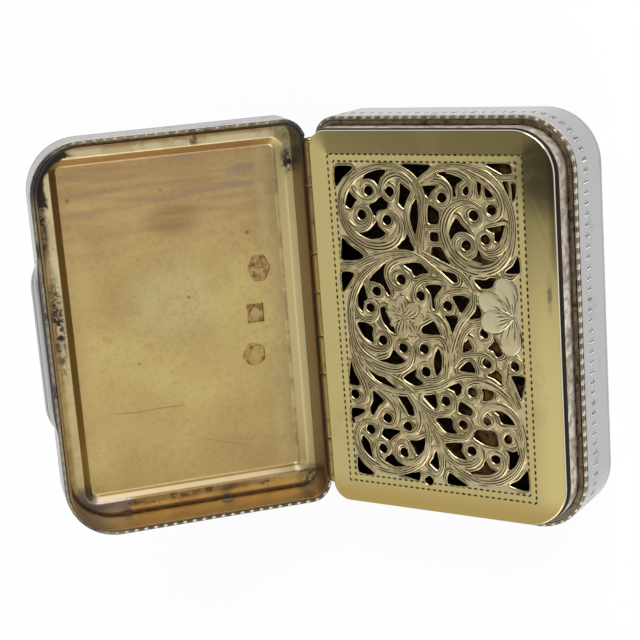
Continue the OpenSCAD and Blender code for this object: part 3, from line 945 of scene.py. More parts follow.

# Bands drawn as x, y and width, each from its root to its curl
SCROLLS = (
    ((-1.2, 6.3, 0.6), (-1.25, 7.3, 0.7), (-1, 8.5, 0.6), (-0.75, 9.8, 0.55), (-0.75, 11, 0.6),
     (-1.1, 12.1, 0.65), (-1.9, 13, 0.6), (-3.2, 13.55, 0.55), (-4.6, 13.6, 0.6),
     (-6, 13.25, 0.7), (-7.3, 12.5, 0.9), (-8.2, 11.4, 0.85), (-8.5, 10.2, 0.8),
     (-8.4, 9.1, 0.8), (-7.9, 8.1, 0.9), (-7, 7.3, 1), (-5.9, 6.85, 1), (-4.6, 6.85, 1.1),
     (-3.6, 7.3, 1.1), (-3, 8.2, 0.9), (-3.1, 9.2, 0.6), (-3.7, 9.75, 0.45), (-4.5, 9.6, 0.4),
     (-4.85, 8.9, 0.35)),
    ((-8.4, 10, 0.4), (-8.1, 9, 0.5), (-7.5, 8.35, 0.5), (-6.7, 8.15, 0.5), (-5.95, 8.6, 0.5),
     (-5.7, 9.4, 0.5), (-6.1, 10.05, 0.45), (-6.8, 10.1, 0.4), (-7.2, 9.5, 0.35)),
    ((-7.4, 12.6, 0.4), (-7.4, 11.7, 0.5), (-6.9, 11, 0.5), (-6, 10.65, 0.5), (-5.2, 10.9, 0.5),
     (-5, 11.6, 0.45), (-5.4, 12.15, 0.4), (-6.05, 12.25, 0.4), (-6.5, 11.8, 0.3)),
    ((-1.3, 11.3, 0.5), (-1.8, 12.3, 0.6), (-2.9, 12.95, 0.7), (-4, 12.6, 0.7),
     (-4.45, 11.7, 0.5), (-4.15, 11, 0.45), (-3.6, 10.8, 0.4), (-3.2, 11.3, 0.3)),
    ((-1.6, 7, 0.4), (-2.1, 8.2, 0.5), (-2.35, 9.2, 0.5), (-2.2, 10.1, 0.5), (-1.75, 11, 0.5),
     (-1.35, 11.7, 0.4)),
    ((-1.3, 12.2, 0.4), (-0.3, 12.9, 0.5), (0.8, 13.5, 0.5), (2.2, 13.65, 0.6), (3.7, 13.5, 0.6),
     (5.2, 13, 0.6), (6.3, 12, 0.6), (6.9, 10.8, 0.6), (7.2, 9.3, 0.6), (7.1, 7.8, 0.7),
     (6.6, 6.4, 0.9), (5.6, 5.4, 1), (4.3, 5.05, 1.05), (3, 5.3, 1.05), (2, 6, 1), (1.3, 7.2, 1),
     (1.05, 8.5, 1), (1.5, 9.8, 1), (2.4, 10.55, 0.8), (3.5, 10.7, 0.6), (4.4, 10.3, 0.5),
     (4.7, 9.6, 0.45), (4.3, 8.9, 0.4), (3.6, 8.9, 0.35), (3.25, 9.4, 0.3)),
    ((3.4, 13.3, 0.4), (4.9, 12.5, 0.6), (5.9, 11.6, 0.6), (6.3, 10.6, 0.6), (6.15, 9.75, 0.55),
     (5.5, 9.35, 0.5), (4.9, 9.7, 0.45), (4.8, 10.35, 0.4), (5.3, 10.8, 0.3)),
    ((1.6, 13.3, 0.4), (2.7, 13.1, 0.55), (3.5, 12.6, 0.6), (3.8, 11.95, 0.55), (3.7, 11.3, 0.5),
     (3.25, 11.05, 0.45), (2.75, 11.35, 0.4), (2.7, 11.95, 0.3)),
    ((6.9, 8.7, 0.7), (6.6, 7.6, 0.9), (6, 6.85, 0.8), (5.2, 6.6, 0.6), (4.5, 6.85, 0.5),
     (4.15, 7.45, 0.45), (4.35, 8.1, 0.4), (4.95, 8.3, 0.35), (5.4, 7.85, 0.3)),
    ((4.4, 5.5, 0.4), (3, 5.8, 0.6), (2.1, 6.5, 0.55), (1.95, 7.3, 0.5), (2.4, 7.95, 0.5),
     (3.2, 7.95, 0.45), (3.75, 7.4, 0.45), (3.7, 6.75, 0.4), (3.1, 6.4, 0.35)),
    ((-0.5, 12.3, 0.4), (0.6, 12.5, 0.55), (1.5, 12.15, 0.6), (1.85, 11.4, 0.55),
     (1.6, 10.65, 0.5), (0.95, 10.4, 0.45), (0.4, 10.8, 0.4), (0.45, 11.4, 0.3)),
    ((6.2, 12.7, 0.4), (7, 12.75, 0.4), (7.7, 12.75, 0.35)),
    ((-0.5, 8.5, 0.5), (0.8, 8.5, 0.5)),
    ((-0.5, 7.15, 0.4), (0.9, 7.15, 0.4)),
    ((-9, 4.9, 0.5), (-7.5, 5, 0.7), (-6, 5.65, 0.8), (-4.3, 6.15, 0.7), (-2.6, 6.3, 0.6),
     (-1.3, 5.9, 0.6), (-0.2, 5.1, 0.55), (0.8, 4.35, 0.5), (1.6, 3.75, 0.35)),
    ((-1, 6.3, 0.5), (0.2, 5.7, 0.55), (1.4, 5.2, 0.55), (2.4, 4.75, 0.5), (3, 4.1, 0.5),
     (3.5, 3.2, 0.4)),
    ((-3.9, 6, 0.4), (-5.4, 5.25, 0.6), (-6.8, 4.2, 0.75), (-7.7, 2.9, 0.8), (-8.2, 1.4, 0.8),
     (-8.3, 0, 0.75), (-8.2, -1.4, 0.75), (-7.6, -2.6, 0.8), (-6.5, -3.4, 0.85),
     (-5.2, -3.85, 0.9), (-4, -3.9, 0.9), (-3, -3.4, 0.75), (-2.55, -2.55, 0.55),
     (-2.65, -1.85, 0.45), (-3.2, -1.4, 0.4), (-3.85, -1.55, 0.35), (-4.05, -2.2, 0.3)),
    ((-1.5, 6, 0.5), (-2.9, 5.8, 0.7), (-4, 5.35, 0.7), (-4.5, 4.5, 0.6), (-4.2, 3.55, 0.55),
     (-3.4, 3.15, 0.5), (-2.65, 3.5, 0.45), (-2.4, 4.2, 0.4), (-2.85, 4.7, 0.35),
     (-3.5, 4.5, 0.3)),
    ((-5.3, 5.3, 0.3), (-6.1, 4.6, 0.4), (-6.45, 3.8, 0.4), (-6.35, 2.9, 0.4), (-5.8, 2.3, 0.4),
     (-5.05, 2.4, 0.4), (-4.95, 3, 0.35), (-5.4, 3.45, 0.3), (-6, 3.3, 0.3)),
    ((-7.95, 1.7, 0.4), (-7.6, 0.8, 0.5), (-7, 0.35, 0.5), (-6.2, 0.3, 0.5), (-5.7, 0.8, 0.45),
     (-5.65, 1.55, 0.4), (-6.2, 2, 0.4), (-6.85, 1.75, 0.3)),
    ((-8.2, 0, 0.4), (-7.7, -1.2, 0.6), (-6.9, -2, 0.7), (-5.9, -2.35, 0.65),
     (-4.9, -2.15, 0.55), (-4.55, -1.4, 0.5), (-4.9, -0.8, 0.45), (-5.6, -0.75, 0.4),
     (-6, -1.3, 0.3)),
    ((0.5, -4.5, 0.5), (0.75, -3, 0.7), (0.75, -1.8, 0.7), (0.3, -0.95, 0.6),
     (-0.6, -0.95, 0.55), (-1.5, -1.15, 0.5), (-2, -1.75, 0.45), (-1.85, -2.4, 0.4),
     (-1.25, -2.6, 0.35), (-0.75, -2.2, 0.3)),
    ((0.3, -4.3, 0.4), (-0.4, -4.7, 0.5), (-1.3, -4.7, 0.5), (-1.95, -4.2, 0.45),
     (-1.9, -3.5, 0.4), (-1.3, -3.2, 0.35), (-0.75, -3.6, 0.3)),
    ((1.2, 3.9, 0.4), (0, 4.1, 0.5), (-1.2, 3.95, 0.5), (-1.9, 3.3, 0.5), (-2, 2.5, 0.45),
     (-1.5, 2.05, 0.4), (-0.9, 2.35, 0.35), (-0.85, 3, 0.3)),
    ((3.4, 3.1, 0.4), (2.4, 3.35, 0.5), (1.2, 3.1, 0.5), (0.5, 2.5, 0.5), (0.45, 1.75, 0.45),
     (0.9, 1.35, 0.4), (1.55, 1.5, 0.4), (1.7, 2.2, 0.3)),
    ((0.5, -4.5, 0.5), (1, -3, 0.55), (1.3, -1.5, 0.6), (2, 0.2, 0.6), (2.8, 1.2, 0.6),
     (3.4, 2, 0.6), (3.5, 3, 0.4)),
    ((-1, 1.1, 0.4), (-0.1, 1, 0.6), (0.6, 0.3, 0.65), (0.85, -0.7, 0.6), (1, -2, 0.4)),
    ((2, -2.3, 0.4), (2.1, -1.2, 0.5), (2.6, -0.2, 0.5), (3.4, 0.4, 0.5), (4.3, 0.45, 0.5),
     (4.85, -0.1, 0.45), (4.7, -0.75, 0.4), (4, -0.9, 0.35), (3.6, -0.4, 0.3)),
    ((1.3, -3.3, 0.35), (2, -2.4, 0.45), (3, -2.1, 0.45), (4.2, -2.05, 0.45), (4.95, -2.5, 0.4),
     (4.95, -3.15, 0.4), (4.3, -3.45, 0.35), (3.75, -3.1, 0.3)),
    ((7.1, -6.5, 0.4), (6.6, -5.3, 0.5), (6, -4.2, 0.5), (6, -3.4, 0.5), (6.2, -2.5, 0.45),
     (6.8, -2.15, 0.4), (7.45, -2.5, 0.4), (7.45, -3.2, 0.35), (6.9, -3.45, 0.3)),
    ((-3.2, -6.05, 0.5), (-2.2, -7, 0.6), (-1.3, -8.3, 0.65), (-0.6, -9.8, 0.7),
     (0.1, -11.2, 0.7), (1.2, -12.4, 0.8), (2.8, -13.2, 0.85), (4.4, -13.25, 0.85),
     (5.8, -12.65, 0.8), (6.9, -11.5, 0.65), (7.35, -9.9, 0.55), (7.15, -8.2, 0.65),
     (6.5, -7, 0.75), (5.4, -6.4, 0.8), (4.3, -6.6, 0.7), (3.65, -7.25, 0.55), (3.6, -8, 0.45),
     (4.05, -8.4, 0.4), (4.6, -8.1, 0.3)),
    ((6.9, -6.6, 0.4), (6, -5.5, 0.6), (4.8, -4.7, 0.7), (3.5, -4.4, 0.65), (2.5, -4.75, 0.55),
     (2.15, -5.5, 0.5), (2.6, -6.1, 0.45), (3.35, -6.05, 0.4), (3.6, -5.4, 0.3)),
    ((-3, -5.8, 0.5), (-1.5, -5.5, 0.55), (0, -5.1, 0.55), (1.2, -4.4, 0.5), (2.4, -4, 0.5),
     (3.6, -4, 0.4)),
    ((-2.2, -6.7, 0.4), (-1.3, -7.4, 0.5), (-0.2, -7.65, 0.5), (0.85, -7.25, 0.5),
     (1.15, -6.5, 0.45), (0.8, -5.85, 0.4), (0.1, -5.8, 0.35), (-0.2, -6.3, 0.3)),
    ((-1, -8.6, 0.5), (-0.2, -9.4, 0.6), (0.9, -9.65, 0.6), (2.1, -9.45, 0.55),
     (2.65, -8.7, 0.5), (2.45, -7.95, 0.45), (1.8, -7.7, 0.4), (1.25, -8.15, 0.3)),
    ((-0.4, -9.9, 0.5), (0.3, -11.3, 0.6), (1.4, -11.95, 0.6), (2.6, -11.8, 0.6),
     (3.35, -11.15, 0.55), (3.35, -10.35, 0.45), (2.7, -9.95, 0.4), (2, -10.2, 0.3)),
    ((2.4, -12.9, 0.5), (4, -12.85, 0.6), (5.1, -12.35, 0.65), (5.6, -11.5, 0.6),
     (5.35, -10.7, 0.5), (4.6, -10.5, 0.45), (4.05, -11, 0.4), (4.3, -11.65, 0.3)),
    ((7.1, -10.4, 0.5), (6.9, -9.3, 0.6), (6.4, -8.6, 0.5), (5.75, -8.6, 0.45), (5.4, -9.2, 0.4),
     (5.75, -9.8, 0.35), (6.35, -9.65, 0.3)),
    ((-0.2, -11, 0.4), (-0.3, -12.3, 0.5), (-0.8, -13.1, 0.5), (-1.6, -13, 0.45),
     (-2.2, -13.4, 0.4)),
    ((-8.5, -1.5, 0.4), (-8.3, -3, 0.5), (-7.6, -4.4, 0.6), (-6.6, -5.3, 0.6),
     (-5.3, -5.85, 0.6), (-4, -6, 0.6), (-3, -5.95, 0.5)),
    ((-8, -2.7, 0.4), (-6.4, -4.15, 0.5), (-4.8, -4.6, 0.5), (-3.6, -5.25, 0.5),
     (-2.8, -5.9, 0.5)),
    ((-8.3, -2.8, 0.5), (-8.1, -4.2, 0.7), (-7.5, -5.4, 0.7), (-7.25, -6.4, 0.6),
     (-7.6, -7.2, 0.5), (-8.4, -7.3, 0.4)),
    ((-6.9, -5.4, 0.5), (-5.7, -6.1, 0.7), (-4.75, -6.95, 0.7), (-4.4, -8, 0.6),
     (-4.75, -8.9, 0.5), (-5.5, -9.1, 0.45), (-6.05, -8.55, 0.4), (-5.8, -7.95, 0.3)),
    ((-3.2, -6, 0.5), (-2.5, -7, 0.65), (-2.2, -8.2, 0.65), (-2.5, -9.2, 0.55),
     (-3.2, -9.6, 0.45), (-3.95, -9.35, 0.4), (-4, -8.75, 0.35), (-3.5, -8.4, 0.3)),
    ((-2.4, -6.6, 0.5), (-1.8, -8, 0.6), (-1.5, -9.4, 0.6), (-1.6, -10.7, 0.65),
     (-2.1, -11.8, 0.7), (-3, -12.6, 0.75), (-4.2, -13.1, 0.8), (-5.6, -13.2, 0.85),
     (-7, -12.85, 0.85), (-8, -12.1, 0.8), (-8.5, -11.1, 0.7), (-8.5, -10, 0.65),
     (-7.95, -9.2, 0.6), (-7.1, -8.95, 0.5), (-6.5, -9.35, 0.45), (-6.55, -10.05, 0.4),
     (-7.15, -10.35, 0.3)),
    ((-1.9, -11.3, 0.4), (-2.8, -12.15, 0.6), (-3.85, -12.3, 0.6), (-4.6, -11.85, 0.55),
     (-4.65, -11, 0.5), (-4.1, -10.5, 0.45), (-3.5, -10.85, 0.35), (-3.4, -11.45, 0.3)),
    ((-4.2, -13.3, 0.4), (-5.6, -12.9, 0.6), (-6.5, -12.35, 0.65), (-6.75, -11.4, 0.6),
     (-6.45, -10.7, 0.5), (-5.75, -10.65, 0.45), (-5.35, -11.2, 0.4), (-5.6, -11.8, 0.3)),
    ((-8.7, -8.9, 0.35), (-7.8, -8.45, 0.4), (-7.2, -7.9, 0.35)),
)


def engraved_bands(name, tree, runs, step, lines):
    """Runs of (x, y, half width, height) swept as one mesh; a run ending at its start is closed."""
    points, edges, widths = [], [], []
    for run in runs:
        first = len(points)
        closed = run[0] == run[-1]
        for i, (x, y, half, z) in enumerate(run[:-1] if closed else run):
            if i:
                edges.append((len(points) - 1, len(points)))
            points.append((x, y, z))
            widths.append(half * MM)
        if closed:
            edges.append((len(points) - 1, first))
    mesh = new_mesh(name, points, edges)
    mark(mesh, "half_width", widths)
    spacing, shift = lines
    bands = apply_tree(show(name, mesh), tree, Step=step * MM, Rise=band_rise, Sink=band_sink,
                       Depth=line_depth, Spacing=spacing, Shift=shift, Finish=chased_gilt)
    fit(bands, "grille")


def laid(scrolls, share):
    """The listed bands as runs, each lying a little over the last."""
    return [[(x, y, width / 2 * share, plate_top + band_lift + band_lay * (order % 5))
             for x, y, width in scroll] for order, scroll in enumerate(scrolls)]


broad = [scroll for scroll in SCROLLS if max(p[2] for p in scroll) > broad_from]
narrow = [scroll for scroll in SCROLLS if max(p[2] for p in scroll) <= broad_from]
engraved_bands("broad_scrolls", chased_band, laid(broad, broad_share), band_step, broad_lines)
engraved_bands("narrow_scrolls", chased_band, laid(narrow, narrow_share), band_step, narrow_lines)

owners = [i for i, loop in enumerate(plate_loops) for point in loop]
near_points = kdtree.KDTree(len(owners))
for i, point in enumerate(point for loop in plate_loops for point in loop):
    near_points.insert((point.x, point.y, 0.0), i)
near_points.balance()


def run_beside(own, loop):
    """A closed run on the metal beside an opening, no wider than its share up to the next one."""
    turn = sum(a.x * b.y - b.x * a.y for a, b in zip(loop, loop[1:] + loop[:1]))
    out = 1 if turn > 0 else -1
    x_low, x_high, y_end = dash_frames[0]
    run = []
    for i, here in enumerate(loop):
        along = (loop[(i + 1) % len(loop)] - loop[i - 1]).normalized()
        space = near_points.find((here.x, here.y, 0.0), filter=lambda k: owners[k] != own)[2]
        room = min(here.x - x_low, x_high - here.x, y_end - abs(here.y)) - edge_room
        half = max(edge_least, min(edge_half, 0.25 * space, room / 2))
        away = half + edge_gap
        run.append((here.x + out * along.y * away, here.y - out * along.x * away, half,
                    plate_top + edge_lift))
    return run + run[:1]


rim = max(plate_loops, key=lambda loop: max(p.y for p in loop))
edge_runs = [run_beside(own, loop) for own, loop in enumerate(plate_loops) if loop is not rim]
engraved_bands("opening_edges", fine_band, edge_runs, edge_step, edge_lines)


# Flowers: two blossoms among the scrolls, flat petals with a cut outline and strokes of the graver
# at their roots. The larger one runs off under the border at the front.
petal_steps = 40
petal_base = 0.05
petal_dome = 0.05
petal_lift = 0.035
petal_t = 0.16
petal_root = 0.16
petal_tip = 0.0008
outline_at = 0.1
outline_half = 0.07
outline_from = 0.35
cut_depth = 0.05
stroke_swing = 0.16
stroke_turns = 9
stroke_fade = 2.2


def petal(x, y, angle, length, width, strokes, share, lift):
    """Points, faces and cut marks of one petal from the heart of its flower."""
    points, faces, marks = [], [], []
    turn = Matrix.Rotation(math.radians(angle), 2)
    round_r = width / 2
    neck = length - round_r
    for i in range(petal_steps + 1):
        u = length * math.sin(math.pi / 2 * i / petal_steps)
        if u > neck:
            spread = math.sqrt(max(round_r ** 2 - (u - neck) ** 2, petal_tip))
        else:
            widening = (1 - petal_root) * math.sin(math.pi / 2 * u / neck)
            spread = round_r * (petal_root + widening)
        for j in range(petal_steps + 1):
            s = 2 * j / petal_steps - 1
            flat = turn @ Vector((u, spread * s))
            from_line = abs((1 - abs(s)) * spread - outline_at)
            cut = max(0.0, 1 - from_line / outline_half) if u > outline_from * length else 0.0
            reach = length * (share + stroke_swing * math.cos(stroke_turns * s + angle))
            stroke = max(0.0, math.cos(math.pi * strokes * s)) ** 2
            stroke *= max(0.0, min(1.0, stroke_fade * (1 - u / reach)))
            marks.append(max(cut, stroke))
            crown = petal_dome * (1 - s ** 4) - cut_depth * marks[-1]
            points.append((x + flat.x, y + flat.y, plate_top + petal_base + lift + crown))
    row = petal_steps + 1
    for i in range(petal_steps):
        for j in range(petal_steps):
            faces.append((i * row + j, (i + 1) * row + j, (i + 1) * row + j + 1, i * row + j + 1))
    return points, faces, marks


def blossom(name, x, y, petals, strokes, share, finish):
    """A flower as one mesh of thick petals, each lying over the next."""
    points, faces, marks = [], [], []
    for order, (angle, length, width) in enumerate(petals):
        lift = petal_lift * (order % 3)
        more, cells, cuts = petal(x, y, angle, length, width, strokes, share, lift)
        faces += [tuple(i + len(points) for i in cell) for cell in cells]
        points += more
        marks += cuts
    mesh = new_mesh(name, points, (), faces)
    mark(mesh, "engraved", marks)
    mesh.materials.append(finish)
    flower = show(name, mesh)
    thick = flower.modifiers.new("thick", "SOLIDIFY")
    thick.thickness = petal_t * MM
    thick.offset = -1.0
    shade(settle(flower).data)
    fit(flower, "grille")


blossom("small_flower", -3.05, 0.75,
        ((139, 1.95, 1.45), (99, 1.9, 1.4), (42, 1.8, 1.45), (-4, 1.8, 1.6), (-62, 1.85, 1.4),
         (-102, 1.95, 1.5), (-151, 1.5, 1.4), (168, 1.7, 1.2)), 4, 0.72, chased_gilt)
blossom("large_flower", 6.98, 1.3,
        ((106, 3.4, 2.2), (150, 3.4, 2.2), (193, 2.95, 2.3), (261, 3.3, 2.1)), 6, 0.5, petal_gilt)


# Grille straps: two hinge tubes, each with a bent strap that passes through a notch in the walls
# and turns up to carry the back edge of the grille plate.
strap_l = 3.4
strap_low = 5.19
strap_high = 5.64
strap_back = axis_x + 0.5
strap_edge = 0.08
flange_back = -11.375
flange_front = -10.925
strap_gilt = worn_finish("strap_gilt", (0.56, 0.40, 0.14), (0.33, 0.21, 0.07), 0.34)
strap_bend = soften(((strap_back, strap_low), (flange_front, strap_low), (flange_front, plate_z),
                     (flange_back, plate_z), (flange_back, strap_high), (strap_back, strap_high)),
                    strap_edge)
for node, side in (("grille_strap_left", -1), ("grille_strap_right", 1)):
    y = side * strap_y
    sheet = [[(x, y + end, z) for x, z in strap_bend] for end in (-strap_l / 2, strap_l / 2)]
    strap = make_piece(node + "_bent", *loft(sheet, False), strap_gilt)
    fit(join(strap, tube(node + "_tube", strap_l, y, strap_gilt)), "grille", node)


# Lid band: the wall of the lid, bent and soldered like the box's, bright outside and gilt inside.
# The lid's pieces are drawn closed over the box and then swung open about the hinge pin.
lid_mouth = 5.73
lid_t = 0.55
ledge_z = 9.3
wall_top = ledge_z + 0.02
lid_open = math.radians(133.5)
hinge_place = Vector((axis_x, 0.0, axis_z)) * MM
lid_swing = (Matrix.Translation(hinge_place) @ Matrix.Rotation(-lid_open, 4, "Y")
             @ Matrix.Translation(-hinge_place))

lid_bright = (0.30, 0.30, 0.297)
wall_brown = (0.50, 0.345, 0.175)
wall_olive = (0.56, 0.405, 0.195)
rim_shade_dark = (0.05, 0.028, 0.009)
lid_brown = (0.27, 0.175, 0.075)
lid_dark = (0.25, 0.165, 0.085)
ledge_dark = (0.11, 0.06, 0.027)
hinge_pink = (0.19, 0.10, 0.042)
soot = (0.022, 0.02, 0.02)


def closed_lid(place):
    """A lid piece's coordinates turned back to the closed lid, in millimetres."""
    turned_back = add(place.tree, "ShaderNodeVectorRotate",
                      {"Vector": place, "Center": hinge_place, "Angle": lid_open},
                      rotation_type="Y_AXIS")[0]
    return vector(turned_back, "MULTIPLY", (1 / MM, 1 / MM, 1 / MM))


def stain(lid, spot, reach, strength, long=1.0):
    """A soft stain about a spot on the closed lid, drawn out along the hinge by a factor."""
    drawn = vector(vector(lid, "SUBTRACT", spot), "MULTIPLY", (1.0, 1 / long, 1.0))
    return ramp(vector(drawn, "LENGTH"), reach, reach * 0.3, 0.0, strength)


def stains(lid, *spots):
    """Some stains as one mask."""
    return strongest(*[stain(lid, *spot) for spot in spots])


def soot_grains(place):
    """The broken grain of soot."""
    return (ramp(patches(place, 700.0, 0.66), 0.0, 0.6, 0.1, 1.0)
            * ramp(patches(place, 2200.0, 0.62), 0.0, 0.7, 0.45, 1.0))


lid_wall, shader, place = start_finish("lid_wall_gilt")
lid = closed_lid(place)
forward, width, height = axes(lid)
colour = mix(patches(place, 420.0, 0.5), wall_olive, wall_brown)
low_end = ramp(width, -13.0, -15.5) * ramp(height, 8.2, 6.2, 0.0, 0.75)
colour = mix(low_end, colour, lid_dark)
hinge_end = ramp(forward, -10.6, -11.2) * ramp(width, -16.5, -15.0, 0.0, 0.85)
colour = mix(hinge_end, colour, hinge_pink)
# A dark line just inside the mouth: a dark joint all round, darker along the +y end as painted shade
# under the rim.
mouth_joint_and_shade = ramp(height, 6.0, 5.85) * ramp(width, 14.5, 16.0, 0.6, 0.95)
colour = mix(mouth_joint_and_shade, colour, ledge_dark)
# Near-black at the +y end by the mouth: painted shade under the rim.
rim_shade_band = ramp(height, 6.3, 6.0) * ramp(width, 15.5, 16.6, 0.0, 0.9)
colour = mix(rim_shade_band, colour, rim_shade_dark)
deep = ramp(height, 8.5, 9.2) * between(patches(place, 600.0, 0.65), 0.3, 0.9)
colour = mix(deep, colour, lid_brown)
joint_line = ramp(height, 8.85, 9.2) * between(patches(place, 900.0, 0.7), 0.25, 0.95)
crust = stains(
    lid, ((11.4, 16.8, 8.0), 6.0, 1.0), ((-11.4, 13.8, 8.9), 1.2, 0.9, 1.6),
    ((-11.2, -16.6, 8.8), 1.7, 0.8), ((10.8, -17.0, 8.6), 2.4, 0.6), ((-2.8, -17.0, 8.4), 1.1, 0.9),
    ((6.6, -17.0, 7.6), 1.1, 0.7), ((11.5, 9.6, 7.4), 1.4, 0.9, 4.0), ((11.5, 2.0, 6.2), 0.6, 0.9, 9.0))
# Dark corners: crust at the front corners, and painted shade at the hinge corner of the +y end.
corners = stains(
    lid, ((11.2, 15.0, 7.4), 3.6, 0.97, 1.4), ((10.7, 14.9, 5.8), 3.6, 0.97, 1.2),
    ((-11.6, 15.8, 6.4), 4.2, 0.93), ((10.4, -16.6, 7.8), 3.4, 0.7))
crust = strongest(crust * soot_grains(place), corners)
rubbed(shader, place, 1500.0, 0.0, 0.15, 0.00003)
wire(shader, {"Base Color": mix(strongest(crust, joint_line), colour, soot), "Roughness": 0.36,
              "Metallic": 1.0 - crust, "Specular IOR Level": 0.2})
lid_silver = silver_finish("lid_silver", lid_bright)


def fit_lid(piece, node):
    """Swings a piece of the lid open, and fits it to the lid."""
    piece.data.transform(lid_swing)
    fit(piece, "lid", node)


def lid_inside(spot, normal):
    """Whether a face of the lid band is gilt: inside, at the mouth or under the hinge."""
    return (faces_inward(spot, normal) or spot.z < lid_mouth + 0.2
            or (spot.x < -11.2 and spot.z < 6.6))


lid_band = ring_piece(
    "lid_band_wall",
    ((0, lid_mouth + bead_w), (0, wall_top), (lid_t, wall_top), (lid_t, lid_mouth),
     (bead_w, lid_mouth), (bead_w, lid_mouth + bead_w)), band_edge, lid_silver, lid_wall)
cut_away(lid_band, hinge_bar())
gild_inside(lid_band, lid_inside)
fit_lid(lid_band, "lid_band")


# Lid plate: one sheet stamped with a raised oblong panel, soldered on the lid band.
# Inside, the panel is a sunk field with a sloping edge, gilt, with three small punched marks.
border_z = 9.8
field_z = 10.05
panel_z = 10.55
field_back = -10.0
field_front = 9.3
field_half = 14.93
field_r = 0.5
field_wave = 0.03
slope = 0.55
field_slope = 0.7
panel_wall = 0.25
field_steps = 20
lid_tan = (0.52, 0.365, 0.145)
lid_gold = (0.65, 0.515, 0.20)
lid_pale = (0.74, 0.635, 0.385)
lid_painted_light_straw = (0.68, 0.57, 0.285)
lid_pink = (0.47, 0.295, 0.145)
lid_grey = (0.36, 0.295, 0.20)
lid_orange = (0.45, 0.295, 0.13)
lid_violet = (0.25, 0.21, 0.195)
strip_pale = (0.24, 0.195, 0.115)
slope_dark = (0.105, 0.07, 0.03)
slope_shade_olive = (0.245, 0.18, 0.075)


def scratch(lid, start, end, half, strength):
    """A thin straight scratch between two spots of the closed lid."""
    along = Vector(end) - Vector(start)
    across = Vector((-along.y, along.x, 0.0)).normalized()
    moved = vector(lid, "SUBTRACT", (Vector(start) + Vector(end)) / 2)
    u = vector(moved, "DOT_PRODUCT", along.normalized())
    bow = (u * 0.9).math("SINE") * 0.06
    thin = ramp(abs(vector(moved, "DOT_PRODUCT", across) + bow), half, half * 0.2)
    return thin * ramp(abs(u), along.length / 2, along.length * 0.35) * strength


lid_gilt, shader, place = start_finish("lid_gilt")
lid = closed_lid(place)
lid_x, lid_y, lid_z = axes(lid)
cloud = noise_at(place, 130.0, 3.0)
soft_cloud = ramp(cloud, 0.3, 0.7)
streak = noise_at(vector(lid, "MULTIPLY", (0.12, 1.1, 1.0)), 1.0, 5.0)
mottle = noise_at(place, 520.0, 6.0, 0.7)
blots = patches(place, 600.0, 0.6)
past_end = abs(lid_y) - field_half
past = strongest(lid_x - field_front, past_end)
round_x = strongest(lid_x - (half_w - corner_front), 0.0)
round_y = strongest(past_end + (field_half - half_l + corner_front), 0.0)
to_wall = (round_x * round_x + round_y * round_y).math("SQRT")
low_end = ramp(lid_y, -13.5, -14.7)
upper_sides = 1.0 - low_end
# The hinge-side slope, which carries painted light.
hinge_slope_light = ramp(lid_x, -9.7, -10.2)
rough_edge = mottle - 0.5
ragged = to_wall + rough_edge * 1.6

# The field, pinker and streaked in its upper part
colour = mix(soft_cloud, lid_tan, lid_gold)
upper = ramp(lid_y, 3.0, 12.5) * ramp(streak, 0.35, 0.65, 0.35, 1.0)
colour = mix(upper, colour, lid_pink)
smudge = stain(lid, (-6.9, 12.6, field_z), 2.2, 1.0) * ramp(streak, 0.4, 0.6)
grey_bands = ramp(lid_y, 9.0, 12.0) * ramp(streak, 0.55, 0.68, 0.0, 0.6)
colour = mix(strongest(smudge, grey_bands), colour, lid_grey)
brown_smear = stain(lid, (-0.4, 9.4, field_z), 3.6, 0.6, 0.6) * ramp(streak, 0.3, 0.6, 0.5, 1.0)
colour = mix(brown_smear, colour, lid_brown)
# A pale straw patch in the middle of the field: painted highlight.
colour = mix(stain(lid, (0.6, 2.0, field_z), 5.5, 0.6, 0.9), colour, lid_painted_light_straw)
rimmed = ramp(past, -1.8, 0.0) * ramp(cloud, 0.35, 0.65, 0.0, 0.4) * ramp(lid_y, -12.0, -4.0, 0.2, 1.0)
colour = mix(rimmed, colour, lid_pink)
# Paler towards the hinge side of the field: painted light.
colour = mix(ramp(lid_x, -7.8, -8.6, 0.0, 0.35), colour, lid_painted_light_straw)
colour = mix(ramp(mottle, 0.46, 0.7, 0.0, 0.5), colour, lid_pink)
colour = mix(patches(place, 2400.0, 0.5) * 0.2, colour, lid_brown)

# The sloping edge and the border round it
# Darker on the sloping edge of the sides and +y end but not the −y end: painted shade on the slopes
# turned from the light.
slope_shade = ramp(past, -0.05, 0.1) * ramp(past, 0.72, 0.62) * upper_sides
slope_shade = slope_shade * ramp(lid_y, -13.0, -6.0, 0.5, 1.0) * ramp(lid_y, 15.0, 14.6, 0.3, 1.0)
colour = mix(slope_shade * 0.8, colour, slope_shade_olive)
strip = ramp(past, 0.62, 0.72) * ramp(past, 1.55, 1.2) * upper_sides
strip = strip * between(blots, 1.0, 0.6) * ramp(lid_y, -8.0, 4.0, 0.45, 1.0)
colour = mix(strip, colour, lid_pale)
grubby = ramp(to_wall, 3.1, 3.5) * between(blots, 0.2, 0.6) * upper_sides
colour = mix(grubby, colour, lid_brown)
low_slope = ramp(past, -0.05, 0.05) * ramp(past, 0.8, 0.65) * low_end
low_strip = ramp(past, 0.14, 0.26) * ramp(past, 0.58, 0.5)
colour = mix(low_slope, colour, mix(low_strip, slope_dark, strip_pale))
low_ledge = ramp(past, 0.6, 0.75) * low_end * ramp(lid_x, -7.0, -2.5, 0.3, 1.0)
ledge_tone = mix(ramp(past, 1.1, 1.5), ledge_dark, lid_orange)
colour = mix(low_ledge * between(blots, 0.6, 0.95), colour, ledge_tone)
